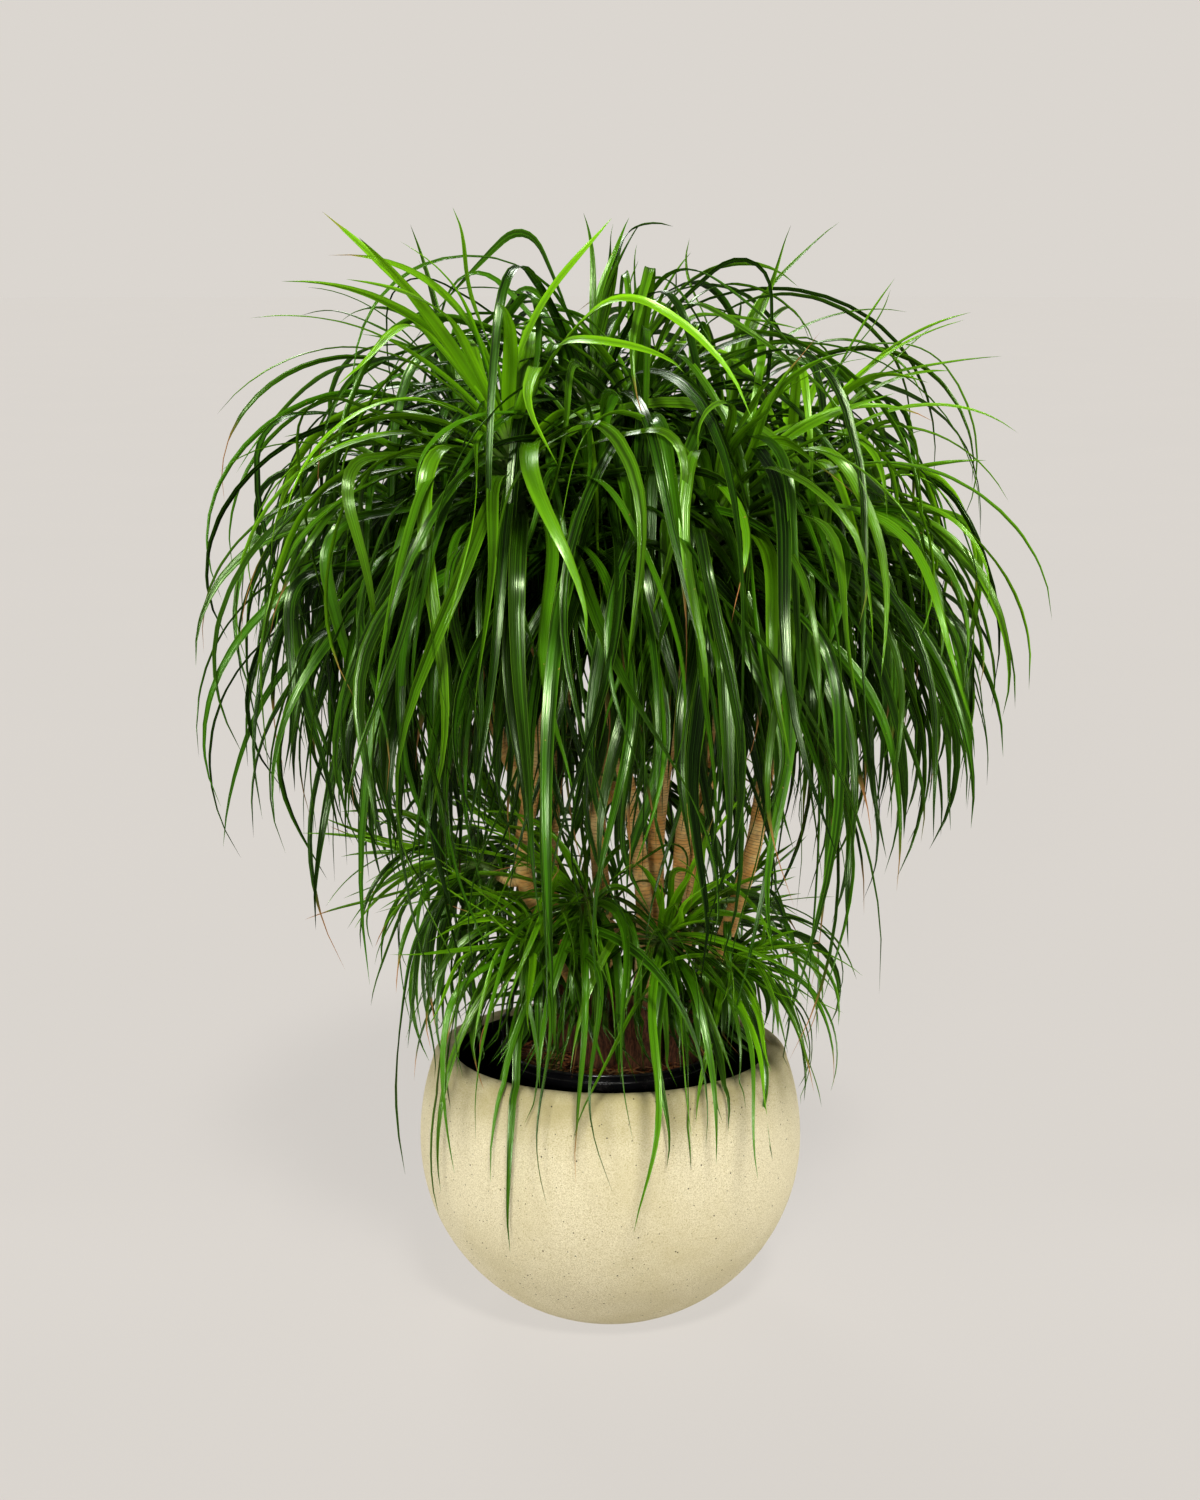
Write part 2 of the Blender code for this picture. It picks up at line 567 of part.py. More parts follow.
def leaf_course(crown_number, crown, rank, nudge=0.0, shorten=1.0, young=None):
    """Centre points, side directions, upper face normals and half widths of one leaf.

    young runs from 0, the oldest leaf at the foot of the crown, to 1, the youngest at its tip."""
    seat, shaft, radius = crown_seat(crown)
    young = (rank + 0.5) / crown.leaves if young is None else young
    draw = np.random.default_rng([SEED, crown_number, rank])
    off_turn, off_rise, off_end, off_bend, off_length, off_width = draw.uniform(-1, 1, 6)
    drift, sway, twist, phase, fold, fold_at = draw.uniform(-1, 1, 6)

    # The leaves spiral round the shaft, pulled towards the outside of the tree.
    turn = rank * GOLDEN_TURN + crown_number * 1.7 + 0.3 * off_turn
    turn += math.radians(nudge) - crown.lean * math.sin(turn - math.atan2(seat[1], seat[0]))
    rise = math.radians(3 + 80 * young ** 1.05 + 14 * off_rise)

    # Each leaves its shaft at an angle to the shaft's own tilt.
    tilt = Vector((0, 0, 1)).rotation_difference(Vector(shaft))
    first = tilt @ Vector(direction(turn, rise))
    rise = math.asin(max(-1.0, min(1.0, first.z)))
    turn = math.atan2(first.y, first.x)

    # Old leaves arch over, some with a crease, and hang past the vertical; the youngest are short and stand.
    hang = math.radians(-106 - 18 * off_end)
    stand = math.radians(40 + 32 * off_end)
    last_rise = stand + (hang - stand) * ease((1.0 - young) / crown.fresh)
    short = ease(1 - (1 - young) / (1.3 * crown.fresh))
    length = crown.length + (crown.young_length - crown.length) * short
    length *= shorten * (1 + 0.17 * off_length)
    share = np.linspace(0, 1, LEAF_STEPS + 1)
    bend = share ** (LEAF_BEND + 0.55 * young + 0.3 * off_bend)
    crease = ease((share - 0.32 - 0.12 * fold_at) / 0.20)
    keen = LEAF_CREASE * max(fold, 0.0)
    rises = rise + (last_rise - rise) * ((1 - keen) * bend + keen * crease)
    turns = turn + math.radians(30) * drift * share ** 2
    swing = LEAF_SWING * sway * np.sin(math.tau * (1.25 * share + phase)) * np.sqrt(share)

    start = seat + shaft * (GAP + 0.014 + young * (crown.shaft - 0.020))
    start = start + direction(turn, 0.0) * 0.5 * radius * (1 - 0.6 * young)
    points, flat = leaf_line(start, turns, rises, swing, length, crown.hem + 0.07 * fold_at)
    sides, normals = leaf_frame(points, flat, math.radians(60) * twist * share ** 1.5)
    broad = crown.width + (crown.young_width - crown.width) * ease((young - 0.35) / 0.45)
    broad *= 1 + 0.25 * off_width
    return points, sides, normals, 0.5 * broad * leaf_width_at(share)


def outward_fold(corners, quad):
    """Two triangles for a skew quad, folded along the diagonal that makes it bulge outward."""
    a, b, c, d = (corners[n] for n in quad)
    bulges = np.dot(np.cross(b - a, c - a), d - a) <= 0
    a, b, c, d = quad
    return [(a, b, c), (a, c, d)] if bulges else [(a, b, d), (b, c, d)]


def blade(course, cuts, grow=0.0, start=0.0):
    """Points and faces of a leaf as a three-sided blade: a flat upper face over a shallow keel."""
    points, sides, normals, halves = course
    picks = [round(c * LEAF_STEPS) for c in cuts if c >= start]
    corners = []
    for n in picks[:-1]:
        keel = LEAF_KEEL * (0.35 + 0.65 * halves[n] / halves.max()) + grow
        corners += [points[n] + sides[n] * (halves[n] + grow) + normals[n] * grow,
                    points[n] - normals[n] * keel,
                    points[n] - sides[n] * (halves[n] + grow) + normals[n] * grow]
    faces = [(0, 1, 2)]
    for a in range(0, len(corners) - 3, 3):
        for k, nxt in ((0, 1), (1, 2), (2, 0)):
            faces += outward_fold(corners, (a + nxt, a + k, a + 3 + k, a + 3 + nxt))
    last, tip = len(corners) - 3, len(corners)
    corners.append(points[picks[-1]])
    faces += [(last + 1, last, tip), (last + 2, last + 1, tip), (last, last + 2, tip)]
    return corners, faces


def tree_of(points, faces):
    return BVHTree.FromPolygons([tuple(p) for p in points], faces, all_triangles=False, epsilon=0.0)


def tree_of_object(piece):
    mesh = piece.data
    return tree_of([v.co for v in mesh.vertices], [tuple(p.vertices) for p in mesh.polygons])


def build_shaft(name, crown, finish):
    """The leafy shaft that the leaves grow from: it sits square on the end of its cane."""
    seat, shaft, radius = crown_seat(crown)
    points = [seat + shaft * (GAP + share * crown.shaft) for share in (0.0, 0.40, 1.0)]
    radii = [radius * swell for swell in (1.0, 1.25, 0.40)]
    return add_object(name, tube_mesh(name, points, radii, sides=SHAFT_SIDES), finish)


def crosses(course, cuts, start, others):
    """Whether a leaf, or the same leaf grown by its clearance, meets any of the other shapes."""
    shapes = [tree_of(*blade(course, cuts, grow, start)) for grow in (0.0, LEAF_CLEARANCE)]
    return any(shape.overlap(other) for shape in shapes for other in others)


def clear_course(number, crown, rank, cuts, obstacles, own):
    """The leaf's own course, or the nearest one turned or shortened so that it crosses nothing."""
    for shorten in SHORTENINGS:
        for nudge in NUDGES:
            course = leaf_course(number, crown, rank, nudge, shorten)
            if crosses(course, cuts, 0.0, obstacles) or crosses(course, cuts, LEAF_FREE_FROM, own):
                continue
            return course
    return None


def grow_leaves(number, shaft, crown, obstacles):
    """Fuses a crown's leaves to its shaft, each one bent clear of all that is there already."""
    name = shaft.name
    cuts = SHOOT_CUTS if name.startswith("side") else LEAF_CUTS
    own, blades = [], []
    for rank in range(0, crown.leaves, SOLID_LEAF_EVERY):
        course = clear_course(number, crown, rank, cuts, obstacles, own)
        if course is None:
            continue
        own.append(tree_of(*blade(course, cuts, 0.0, LEAF_FREE_FROM)))
        leaf = f"{name}_leaf_{rank}"
        blades.append(add_object(leaf, mesh_from(leaf, *blade(course, cuts)), shaft.data.materials[0]))
    join_all(shaft, blades)
    keep_main_body(shaft.data)
    smooth(shaft.data, 40)
    print(name, "has", len(blades), "solid leaves")


def build():
    clear_scene()
    solids = [build_planter(), build_grow_pot(), build_soil()]
    solids += [build_stem(name, stem) for name, stem in STEMS.items()]
    finish = finish_of("leaf", LEAF_GREEN, 0.38)
    shafts = [build_shaft(name, crown, finish) for name, crown in CROWNS.items()]
    trees = {piece.name: tree_of_object(piece) for piece in solids + shafts}
    for number, (name, crown) in enumerate(CROWNS.items()):
        obstacles = [tree for other, tree in trees.items() if other != name]
        grow_leaves(number, shafts[number], crown, obstacles)
        trees[name] = tree_of_object(shafts[number])


if __name__ == "__main__":
    build()
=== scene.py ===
# %% [markdown]
# # A potted dragon tree
#
# The plant has seven bare canes with rings of old leaf scars. Each ends in one or two crowns of long strap
# leaves that rise, arch over and hang, and short leafy shoots break from the canes low down. It grows in a
# black grow pot, and the pot stands loose in a round planter of cast stone.
#
# The solids of the part give every place and size. This lesson dresses each of them with a finer piece.

import math
from collections import namedtuple

import bpy
import numpy as np
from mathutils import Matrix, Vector
from mathutils.bvhtree import BVHTree
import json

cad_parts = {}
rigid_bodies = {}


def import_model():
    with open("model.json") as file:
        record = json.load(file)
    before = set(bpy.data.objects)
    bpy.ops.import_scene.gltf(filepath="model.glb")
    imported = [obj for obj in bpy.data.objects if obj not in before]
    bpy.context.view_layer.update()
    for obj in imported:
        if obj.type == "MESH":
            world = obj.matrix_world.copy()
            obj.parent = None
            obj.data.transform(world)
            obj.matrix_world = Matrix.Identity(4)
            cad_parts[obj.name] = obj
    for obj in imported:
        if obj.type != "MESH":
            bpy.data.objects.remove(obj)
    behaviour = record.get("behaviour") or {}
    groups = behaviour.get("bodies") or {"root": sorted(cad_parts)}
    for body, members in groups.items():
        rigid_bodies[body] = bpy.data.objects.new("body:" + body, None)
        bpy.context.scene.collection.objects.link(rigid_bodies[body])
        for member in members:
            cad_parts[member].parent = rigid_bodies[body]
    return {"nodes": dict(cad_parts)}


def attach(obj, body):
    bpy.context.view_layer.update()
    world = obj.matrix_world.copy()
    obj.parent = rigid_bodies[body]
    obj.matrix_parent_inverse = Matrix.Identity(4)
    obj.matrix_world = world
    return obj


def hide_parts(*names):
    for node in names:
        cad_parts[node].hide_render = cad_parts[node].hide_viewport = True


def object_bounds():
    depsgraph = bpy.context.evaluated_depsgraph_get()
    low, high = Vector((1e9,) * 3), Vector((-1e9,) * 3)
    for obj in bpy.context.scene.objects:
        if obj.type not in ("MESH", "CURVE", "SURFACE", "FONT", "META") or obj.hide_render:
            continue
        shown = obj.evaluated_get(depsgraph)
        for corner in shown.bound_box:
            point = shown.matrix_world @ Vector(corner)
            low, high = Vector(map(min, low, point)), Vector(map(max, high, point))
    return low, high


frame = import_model()
solids_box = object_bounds()
sides_mm = [round(1000 * (high - low)) for low, high in zip(*solids_box)]
print("solids:", len(frame["nodes"]), "nodes in a box of", sides_mm, "mm")

# %% [markdown]
# ## One form behind every piece
#
# A leaf, a cane, a pot and a planter are all the same thing to a mesh: a stack of rings between two end
# points. A leaf's rings are thin and folded, a cane's are round, and a planter's run up its outside, over
# the lip and down its inside. Modifiers could make each of them, but one small helper makes them all, keeps
# them closed, and knows where every point is along and around its piece, which the finishes need later.

# %% Sleeves of rings
Sleeve = namedtuple("Sleeve", "rings start end values")
FEW_SIDES = 30


def sleeve(rings, start=None, end=None, **values):
    """A closed tube: rings is (count, around, 3), and start and end are the points that close it."""
    rings = np.asarray(rings, float)
    start = rings[0].mean(0) if start is None else start
    end = rings[-1].mean(0) if end is None else end
    return Sleeve(rings, np.asarray(start, float), np.asarray(end, float), values)


def ring_turns(around):
    return math.tau * np.arange(around) / around


def round_points(radius, turns, z):
    """Points at this distance from the Z axis, this far round it and this high."""
    return np.stack([radius * np.cos(turns), radius * np.sin(turns), z + 0 * turns], axis=-1)


def distances_along(points):
    """How far along a line each of its points lies."""
    return np.concatenate([[0], np.cumsum(np.linalg.norm(np.diff(points, axis=0), axis=1))])


def unit(rows):
    """The rows of an array, each scaled to a length of one."""
    return rows / np.linalg.norm(rows, axis=1)[:, None]


# %% [markdown]
# Each sleeve also gets a cell of its own on a flat map, laid out as if the tube were slit along one side and
# unrolled. Blender's automatic unwrap would cut thousands of narrow leaves into crumbs. A rule that knows
# the rings keeps every leaf in one straight strip.

# %% Faces of a sleeve and their places on the map
def sleeve_faces(count, around):
    """Faces by point number, and the same corners as (share around, ring number)."""
    here = np.arange(around)
    after = (here + 1) % around
    low = 1 + around * np.arange(count - 1)[:, None]
    quads = np.stack([low + here, low + after, low + around + after, low + around + here], axis=-1)
    last = 1 + around * (count - 1)
    top = around * count + 1
    closing = [(0, 1 + b, 1 + a) for a, b in zip(here, after)]
    closing += [(top, last + a, last + b) for a, b in zip(here, after)]
    level = np.arange(count - 1)[:, None, None] + np.array([0, 0, 1, 1])
    share = (here[None, :, None] + np.array([0, 1, 1, 0])) / around
    spots = np.stack(np.broadcast_arrays(share, level), axis=-1).reshape(-1, 2).tolist()
    for a in here:
        spots += [((a + 0.5) / around, -1), ((a + 1) / around, 0), (a / around, 0)]
    for a in here:
        spots += [((a + 0.5) / around, count), (a / around, count - 1), ((a + 1) / around, count - 1)]
    return quads.reshape(-1, 4).tolist() + closing, np.array(spots)


def lengthwise(one):
    """Each ring's share of the way along its sleeve, with a little room for the two ends.

    The way runs through the middles of the rings, or up one side of a turned piece, whose middles stay put."""
    line = one.rings.mean(1) if one.rings.shape[1] < FEW_SIDES else one.rings[:, 0]
    travelled = distances_along(line)
    return np.concatenate([0.02 + 0.96 * travelled / max(travelled[-1], 1e-9), [1.0, 0.0]])


# %% [markdown]
# The last step of the form is the mesh itself. The values that a sleeve carries, such as how far along a
# leaf a point lies, are stored on the points as attributes. The finishes read them by name.

# %% A piece from its sleeves
MAP_MARGIN_ROUND, MAP_MARGIN_ALONG = 0.06, 0.01
scene = bpy.context.scene


def point_values(one, name):
    """A stored value on every point of a sleeve; its two end points take the mean of the ring beside them."""
    count, around = one.rings.shape[:2]
    grid = np.broadcast_to(np.asarray(one.values[name], float), (count, around))
    return np.concatenate([[grid[0].mean()], grid.ravel(), [grid[-1].mean()]])


def add_object(name, data):
    """A mesh, lamp or camera as an object in the scene."""
    thing = bpy.data.objects.new(name, data)
    scene.collection.objects.link(thing)
    return thing


def make_piece(name, sleeves, finish, nodes=(), sharp_from=40.0, columns=None):
    """One object from many sleeves: it rides on the plant's body and stands for the given solids."""
    points, faces, places = [], [], []
    columns = columns or len(sleeves)
    rows = math.ceil(len(sleeves) / columns)
    first = 0
    for n, one in enumerate(sleeves):
        count, around = one.rings.shape[:2]
        own_faces, spots = sleeve_faces(count, around)
        faces += [[first + corner for corner in face] for face in own_faces]
        along = lengthwise(one)[spots[:, 1].astype(int)]
        inset = (MAP_MARGIN_ROUND + (1 - 2 * MAP_MARGIN_ROUND) * spots[:, 0],
                 MAP_MARGIN_ALONG + (1 - 2 * MAP_MARGIN_ALONG) * along)
        places.append(((n % columns, n // columns) + np.stack(inset, axis=1)) / (columns, rows))
        points += [one.start[None], one.rings.reshape(-1, 3), one.end[None]]
        first += count * around + 2
    mesh = bpy.data.meshes.new(name)
    mesh.from_pydata(np.concatenate(points), [], faces)
    mesh.uv_layers.new(name="OFBake").uv.foreach_set("vector", np.concatenate(places).astype(np.float32).ravel())
    for value in sleeves[0].values:
        stored = mesh.attributes.new(value, "FLOAT", "POINT")
        stored.data.foreach_set("value", np.concatenate([point_values(s, value) for s in sleeves]))
    mesh.shade_smooth()
    mesh.set_sharp_from_angle(angle=math.radians(sharp_from))
    mesh.materials.append(finish)
    piece = add_object(name, mesh)
    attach(piece, "root")
    if nodes:
        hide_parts(*nodes)
    return piece


def triangles(piece):
    return sum(len(face.vertices) - 2 for face in piece.data.polygons)


# %% [markdown]
# ## Writing a finish in a few words
#
# A finish is a graph of nodes that ends in one Principled shader. Made with Blender's own calls, each node
# takes four or five lines, and the idea drowns. This helper adds a node and joins it in one line, so that a
# finish below reads as a recipe: what pattern, how large, what it changes.

# %% A small node helper
class Finish:
    """A material whose nodes are added and joined with short calls."""

    def __init__(self, name, roughness=0.5, specular=0.5):
        self.material = bpy.data.materials.new(name)
        self.material.use_nodes = True
        self.tree = self.material.node_tree
        self.shader = self.tree.nodes["Principled BSDF"]
        self.shader.inputs["Roughness"].default_value = roughness
        self.shader.inputs["Specular IOR Level"].default_value = specular
        self.place = self.node("ShaderNodeTexCoord").outputs["Object"]

    def join(self, value, socket):
        if isinstance(value, bpy.types.NodeSocket):
            self.tree.links.new(value, socket)
        elif socket.type == "RGBA":
            socket.default_value = (*value, 1.0)
        else:
            socket.default_value = value

    def node(self, kind, sockets=(), **settings):
        made = self.tree.nodes.new(kind)
        for name, value in settings.items():
            setattr(made, name, value)
        for name, value in dict(sockets).items():
            self.join(value, made.inputs[name])
        return made

    def sums(self, operation, a, b=0.0):
        return self.node("ShaderNodeMath", {0: a, 1: b}, operation=operation).outputs[0]

    def times(self, a, b):
        return self.sums("MULTIPLY", a, b)

    def plus(self, a, b):
        return self.sums("ADD", a, b)

    def stored(self, name):
        return self.node("ShaderNodeAttribute", attribute_name=name).outputs["Fac"]

    def noise(self, scale, detail=2, roughness=0.5, place=None):
        sockets = {"Vector": place or self.place, "Scale": scale, "Detail": detail, "Roughness": roughness}
        return self.node("ShaderNodeTexNoise", sockets).outputs["Fac"]

    def stretched(self, scales, detail=3, roughness=0.5, place=None):
        """Noise with a scale of its own on each axis."""
        mapped = self.node("ShaderNodeMapping", {"Vector": place or self.place, "Scale": scales})
        return self.noise(1, detail, roughness, mapped.outputs["Vector"])

    def cells(self, scale, output="Distance"):
        return self.node("ShaderNodeTexVoronoi", {"Vector": self.place, "Scale": scale}).outputs[output]

    def fade(self, value, low, high, start=0.0, end=1.0):
        sockets = {"Value": value, "From Min": low, "From Max": high, "To Min": start, "To Max": end}
        return self.node("ShaderNodeMapRange", sockets, interpolation_type="SMOOTHSTEP").outputs[0]

    def blend(self, share, first, second):
        return self.node("ShaderNodeMix", {0: share, 6: first, 7: second}, data_type="RGBA").outputs[2]

    def coats(self, colour, *layers):
        """A colour under others, each laid on where its value fades in: (over, value, low, high, start, end)."""
        for over, *fading in layers:
            colour = self.blend(self.fade(*fading), colour, over)
        return colour

    def relief(self, height, distance, strength=1.0, over=None):
        sockets = {"Height": height, "Distance": distance, "Strength": strength}
        if over is not None:
            sockets["Normal"] = over
        return self.node("ShaderNodeBump", sockets).outputs["Normal"]

    def wear(self, colour=None, roughness=None, normal=None):
        for name, value in (("Base Color", colour), ("Roughness", roughness), ("Normal", normal)):
            if value is not None:
                self.tree.links.new(value, self.shader.inputs[name])
        return self.material


# %% [markdown]
# ## The planter
#
# Planters like this are cast from crushed stone and resin and then sanded, so the skin is a fine, matt sand
# with dark grains and a few pinholes. The body is a bowl with a small flat foot, widest above the middle,
# and its shoulder rolls over into a wide mouth. It is turned from one outline. Two ellipses give the side,
# because straight runs with rounded corners would show as bands when light falls along them.

# %% Outline of the planter
PLANTER_RADIUS, PLANTER_HEIGHT, PLANTER_WIDEST_Z = 0.253, 0.351, 0.228
PLANTER_FOOT_RADIUS, PLANTER_FLOOR, PLANTER_WALL = 0.106, 0.030, 0.020
SHOULDER_RADIUS, SHOULDER_Z, SHOULDER_REACH = 0.018, 0.333, 0.235
MOUTH_RADIUS, LIP_RADIUS, LIP_DROP = 0.205, 0.006, 0.001
PLANTER_SIDES, CAST_WOBBLE = 160, 0.0004


def planter_radius_at(z):
    """Outer radius of the planter's side at height z: an ellipse below its widest line, a taller one above."""
    if z <= PLANTER_WIDEST_Z:
        fall = PLANTER_WIDEST_Z / math.sqrt(1 - (PLANTER_FOOT_RADIUS / PLANTER_RADIUS) ** 2)
    else:
        fall = (SHOULDER_Z - PLANTER_WIDEST_Z) / math.sqrt(1 - (SHOULDER_REACH / PLANTER_RADIUS) ** 2)
    share = min(1.0, abs(z - PLANTER_WIDEST_Z) / fall)
    return PLANTER_RADIUS * math.sqrt(1 - share * share)


def arc(centre, radius, start, end, count):
    turns = np.radians(np.linspace(start, end, count))
    return [(centre[0] + radius * math.cos(a), centre[1] + radius * math.sin(a)) for a in turns]


def planter_outline():
    """The outside from the foot to the mouth, and the inside from the mouth down to the floor."""
    foot_turn = math.asin(PLANTER_FOOT_RADIUS / PLANTER_RADIUS)
    turns = np.linspace(foot_turn, math.pi / 2, 30)
    lower = [PLANTER_WIDEST_Z * (1 - math.cos(turn) / math.cos(foot_turn)) for turn in turns]
    upper = np.linspace(PLANTER_WIDEST_Z, SHOULDER_Z, 14)[1:-1]
    outside = [(0.5 * PLANTER_FOOT_RADIUS, 0.0)] + [(planter_radius_at(z), z) for z in (*lower, *upper)]
    outside += arc((SHOULDER_REACH - SHOULDER_RADIUS, SHOULDER_Z), SHOULDER_RADIUS, 0, 90, 10)
    outside += arc((MOUTH_RADIUS + LIP_RADIUS, PLANTER_HEIGHT - LIP_RADIUS - LIP_DROP), LIP_RADIUS, 110, 180, 7)
    levels = np.linspace(SHOULDER_Z - 0.012, PLANTER_FLOOR + 0.035, 16)
    inside = [(planter_radius_at(z) - PLANTER_WALL, z) for z in levels]
    inside += [(0.125, PLANTER_FLOOR), (0.06, PLANTER_FLOOR)]
    return outside, inside


def turned(outline, around, wobble=0.0):
    """Rings that an (r, z) outline sweeps round the Z axis, a touch out of round, as a cast piece is."""
    turns = ring_turns(around)
    r, z = np.array(outline).T[:, :, None]
    uneven = np.sin(2 * turns + 1.1) + 0.7 * np.sin(3 * turns + 9 * z) + 0.4 * np.sin(7 * turns - 21 * z)
    r = r + wobble * uneven * np.minimum(1.0, r / 0.05)
    return round_points(r, turns, z)


outside, inside = planter_outline()
print("planter outline:", len(outside), "points outside,", len(inside), "inside")

# %% [markdown]
# The sand is three patterns on top of one another. Noise at about a millimetre gives the grain, larger noise
# the cloudy shade of a hand sanded skin, and two sizes of Voronoi cells the dark grains and the pinholes.
# Under the rim a patchy olive band is painted shade, where the hanging leaves shade the planter, and the foot turns
# a touch more olive towards the bottom. The inside is sealed with black.

# %% Cast stone
SAND_PALE, SAND_DEEP, SAND_DUSTY = (0.755, 0.697, 0.510), (0.414, 0.351, 0.184), (0.558, 0.495, 0.297)
OLIVE_SHADE, GRAIN_DARK, SEALER = (0.36, 0.31, 0.125), (0.055, 0.042, 0.028), (0.006, 0.006, 0.006)


def cast_stone():
    stone = Finish("cast_stone", roughness=0.9, specular=0.25)
    grain, clouds = stone.noise(640, 5, roughness=0.8), stone.noise(6, 5, roughness=0.6)
    sand = stone.coats(SAND_DEEP, (SAND_PALE, grain, 0.30, 0.60), (SAND_DUSTY, clouds, 0.42, 0.72, 0.0, 0.55))
    height = stone.node("ShaderNodeSeparateXYZ", {"Vector": stone.place}).outputs["Z"]
    # Painted shade: a patchy olive band under the rim, where the leaves above shade the planter; the foot turns a
    # touch more olive towards the bottom.
    olive_breakup = stone.noise(24, detail=4)
    rim = stone.times(stone.fade(height, 0.268, PLANTER_HEIGHT), stone.fade(olive_breakup, 0.25, 0.75, 0.35, 0.70))
    foot = stone.times(stone.fade(height, 0.100, 0.0), stone.fade(olive_breakup, 0.3, 0.7, 0.0, 0.04))
    sand = stone.blend(stone.sums("MAXIMUM", rim, foot), sand, OLIVE_SHADE)
    for scale, reach, rare in ((95, 0.13, 0.66), (210, 0.20, 0.80)):
        chosen = stone.fade(stone.cells(scale, "Color"), rare, rare + 0.02)
        speck = stone.times(stone.fade(stone.cells(scale), reach, 0.6 * reach), chosen)
        sand = stone.blend(stone.times(speck, 0.9), sand, GRAIN_DARK)
    holes = stone.fade(stone.cells(210), 0.05, 0.18)
    sealed = stone.stored("inside")
    pitted = stone.relief(stone.plus(stone.times(grain, 1.2), stone.times(holes, 0.8)), 0.0012, 0.6)
    combed = stone.relief(stone.stretched((26, 26, 95)), 0.0025, 0.3, over=pitted)
    return stone.wear(stone.blend(sealed, sand, SEALER), stone.fade(sealed, 0.0, 1.0, 0.92, 0.42), combed)


planter_rings = turned(outside + inside, PLANTER_SIDES, CAST_WOBBLE)
is_inside = np.repeat([0.0, 1.0], [len(outside) - 1, len(inside) + 1])[:, None]
planter_sleeve = sleeve(planter_rings, (0, 0, 0), (0, 0, PLANTER_FLOOR), inside=is_inside)
planter = make_piece("stone_planter", [planter_sleeve], cast_stone(), ["planter"])
print("planter:", triangles(planter), "triangles")

# %% [markdown]
# ## The grow pot
#
# It is a thin black nursery pot. The wall leans out, and under the top it steps out into a stiff rim with
# one raised line round it. Two grip lugs stand up from the rim. Every edge of a moulded part has a small
# radius, and that radius is what catches the light, so each corner of the outline is cut and rounded.

# %% Outline of the grow pot
POT_TOP_Z, POT_RIM_RADIUS, POT_TOP_RADIUS, POT_FOOT_RADIUS = 0.353, 0.1460, 0.1395, 0.1120
POT_WALL, POT_FLOOR, POT_RIM_DROP, POT_RIM_STEP, GAP = 0.0028, 0.0040, 0.022, 0.0018, 0.0003
LUG_ANGLES, LUG_HEIGHT, LUG_WIDTH, LUG_THICKNESS = (168.0, 14.0), 0.032, 0.036, 0.0034
POT_SIDES, EDGE_RADIUS = 144, 0.0009


def filleted(outline, radius, steps=4):
    """Rounds each corner of an outline with a small curve; the two end points stay."""
    out = [outline[0]]
    for before, corner, after in zip(outline, outline[1:], outline[2:]):
        corner = np.array(corner, float)
        ends = []
        for other in (before, after):
            length = np.linalg.norm(other - corner)
            ends.append(corner + (other - corner) / length * min(radius, 0.45 * length))
        start, end = ends
        for t in np.linspace(0, 1, steps):
            out.append(tuple((1 - t) ** 2 * start + 2 * t * (1 - t) * corner + t * t * end))
    return out + [outline[-1]]


def pot_inner_radius_at(z):
    share = (z - PLANTER_FLOOR) / (POT_TOP_Z - PLANTER_FLOOR)
    return POT_FOOT_RADIUS + (POT_TOP_RADIUS - POT_FOOT_RADIUS) * share - POT_WALL


def pot_outline():
    floor_z = PLANTER_FLOOR + GAP
    under_rim = POT_TOP_Z - POT_RIM_DROP
    line_z = POT_TOP_Z - 0.46 * POT_RIM_DROP
    return [
        (0.02, floor_z), (POT_FOOT_RADIUS, floor_z), (POT_TOP_RADIUS - 0.0015, under_rim),
        (POT_RIM_RADIUS - 0.0010, under_rim + 0.0015), (POT_RIM_RADIUS, line_z - 0.0010),
        (POT_RIM_RADIUS - POT_RIM_STEP, line_z), (POT_RIM_RADIUS - 0.8 * POT_RIM_STEP, POT_TOP_Z - 0.0040),
        (POT_RIM_RADIUS - 0.0004, POT_TOP_Z - 0.0026), (POT_RIM_RADIUS - 0.0012, POT_TOP_Z),
        (POT_TOP_RADIUS, POT_TOP_Z - 0.0008), (pot_inner_radius_at(POT_TOP_Z - 0.004), POT_TOP_Z - 0.004),
        (pot_inner_radius_at(floor_z + POT_FLOOR), floor_z + POT_FLOOR), (0.02, floor_z + POT_FLOOR),
    ]


pot_rings = turned(filleted(pot_outline(), EDGE_RADIUS), POT_SIDES)
print("grow pot:", len(pot_rings), "rings, rim", round(2000 * POT_RIM_RADIUS), "mm across")


# %% [markdown]
# A lug is a flat tab with a rounded top, bent to the curve of the rim. Its rings are copies of the tab's
# outline, stacked through its thickness. The first and the last are drawn in a little, which rounds the edge.

# %% Grip lugs
def lug_sleeve(angle):
    half, corner, sunk = LUG_WIDTH / 2, 0.55 * LUG_WIDTH / 2, 0.010
    tab = arc((half - corner, LUG_HEIGHT - corner), corner, 0, 90, 7)
    tab += arc((corner - half, LUG_HEIGHT - corner), corner, 90, 180, 7)
    tab = np.array(tab + [(-half, -sunk), (half, -sunk)])
    inner = tab + unit((0.0, 0.5 * (LUG_HEIGHT - sunk)) - tab) * EDGE_RADIUS
    radius = POT_RIM_RADIUS - LUG_THICKNESS / 2 - 0.0008
    rings = []
    for outline, depth in ((inner, -0.5), (tab, -0.22), (tab, 0.22), (inner, 0.5)):
        turn = math.radians(angle) + outline[:, 0] / radius
        rings.append(round_points(radius + depth * LUG_THICKNESS, turn, POT_TOP_Z + outline[:, 1]))
    return sleeve(rings)


# %% [markdown]
# Black plastic is seldom plain black. Dust lies on what faces up, water leaves pale tide marks, and the
# moulded skin has a faint tooth that breaks up the gloss. Roughness carries most of that story here, because
# a colour so dark shows little.

# %% Black plastic
PLASTIC_BLACK, PLASTIC_DUST = (0.0075, 0.0075, 0.0085), (0.105, 0.085, 0.068)


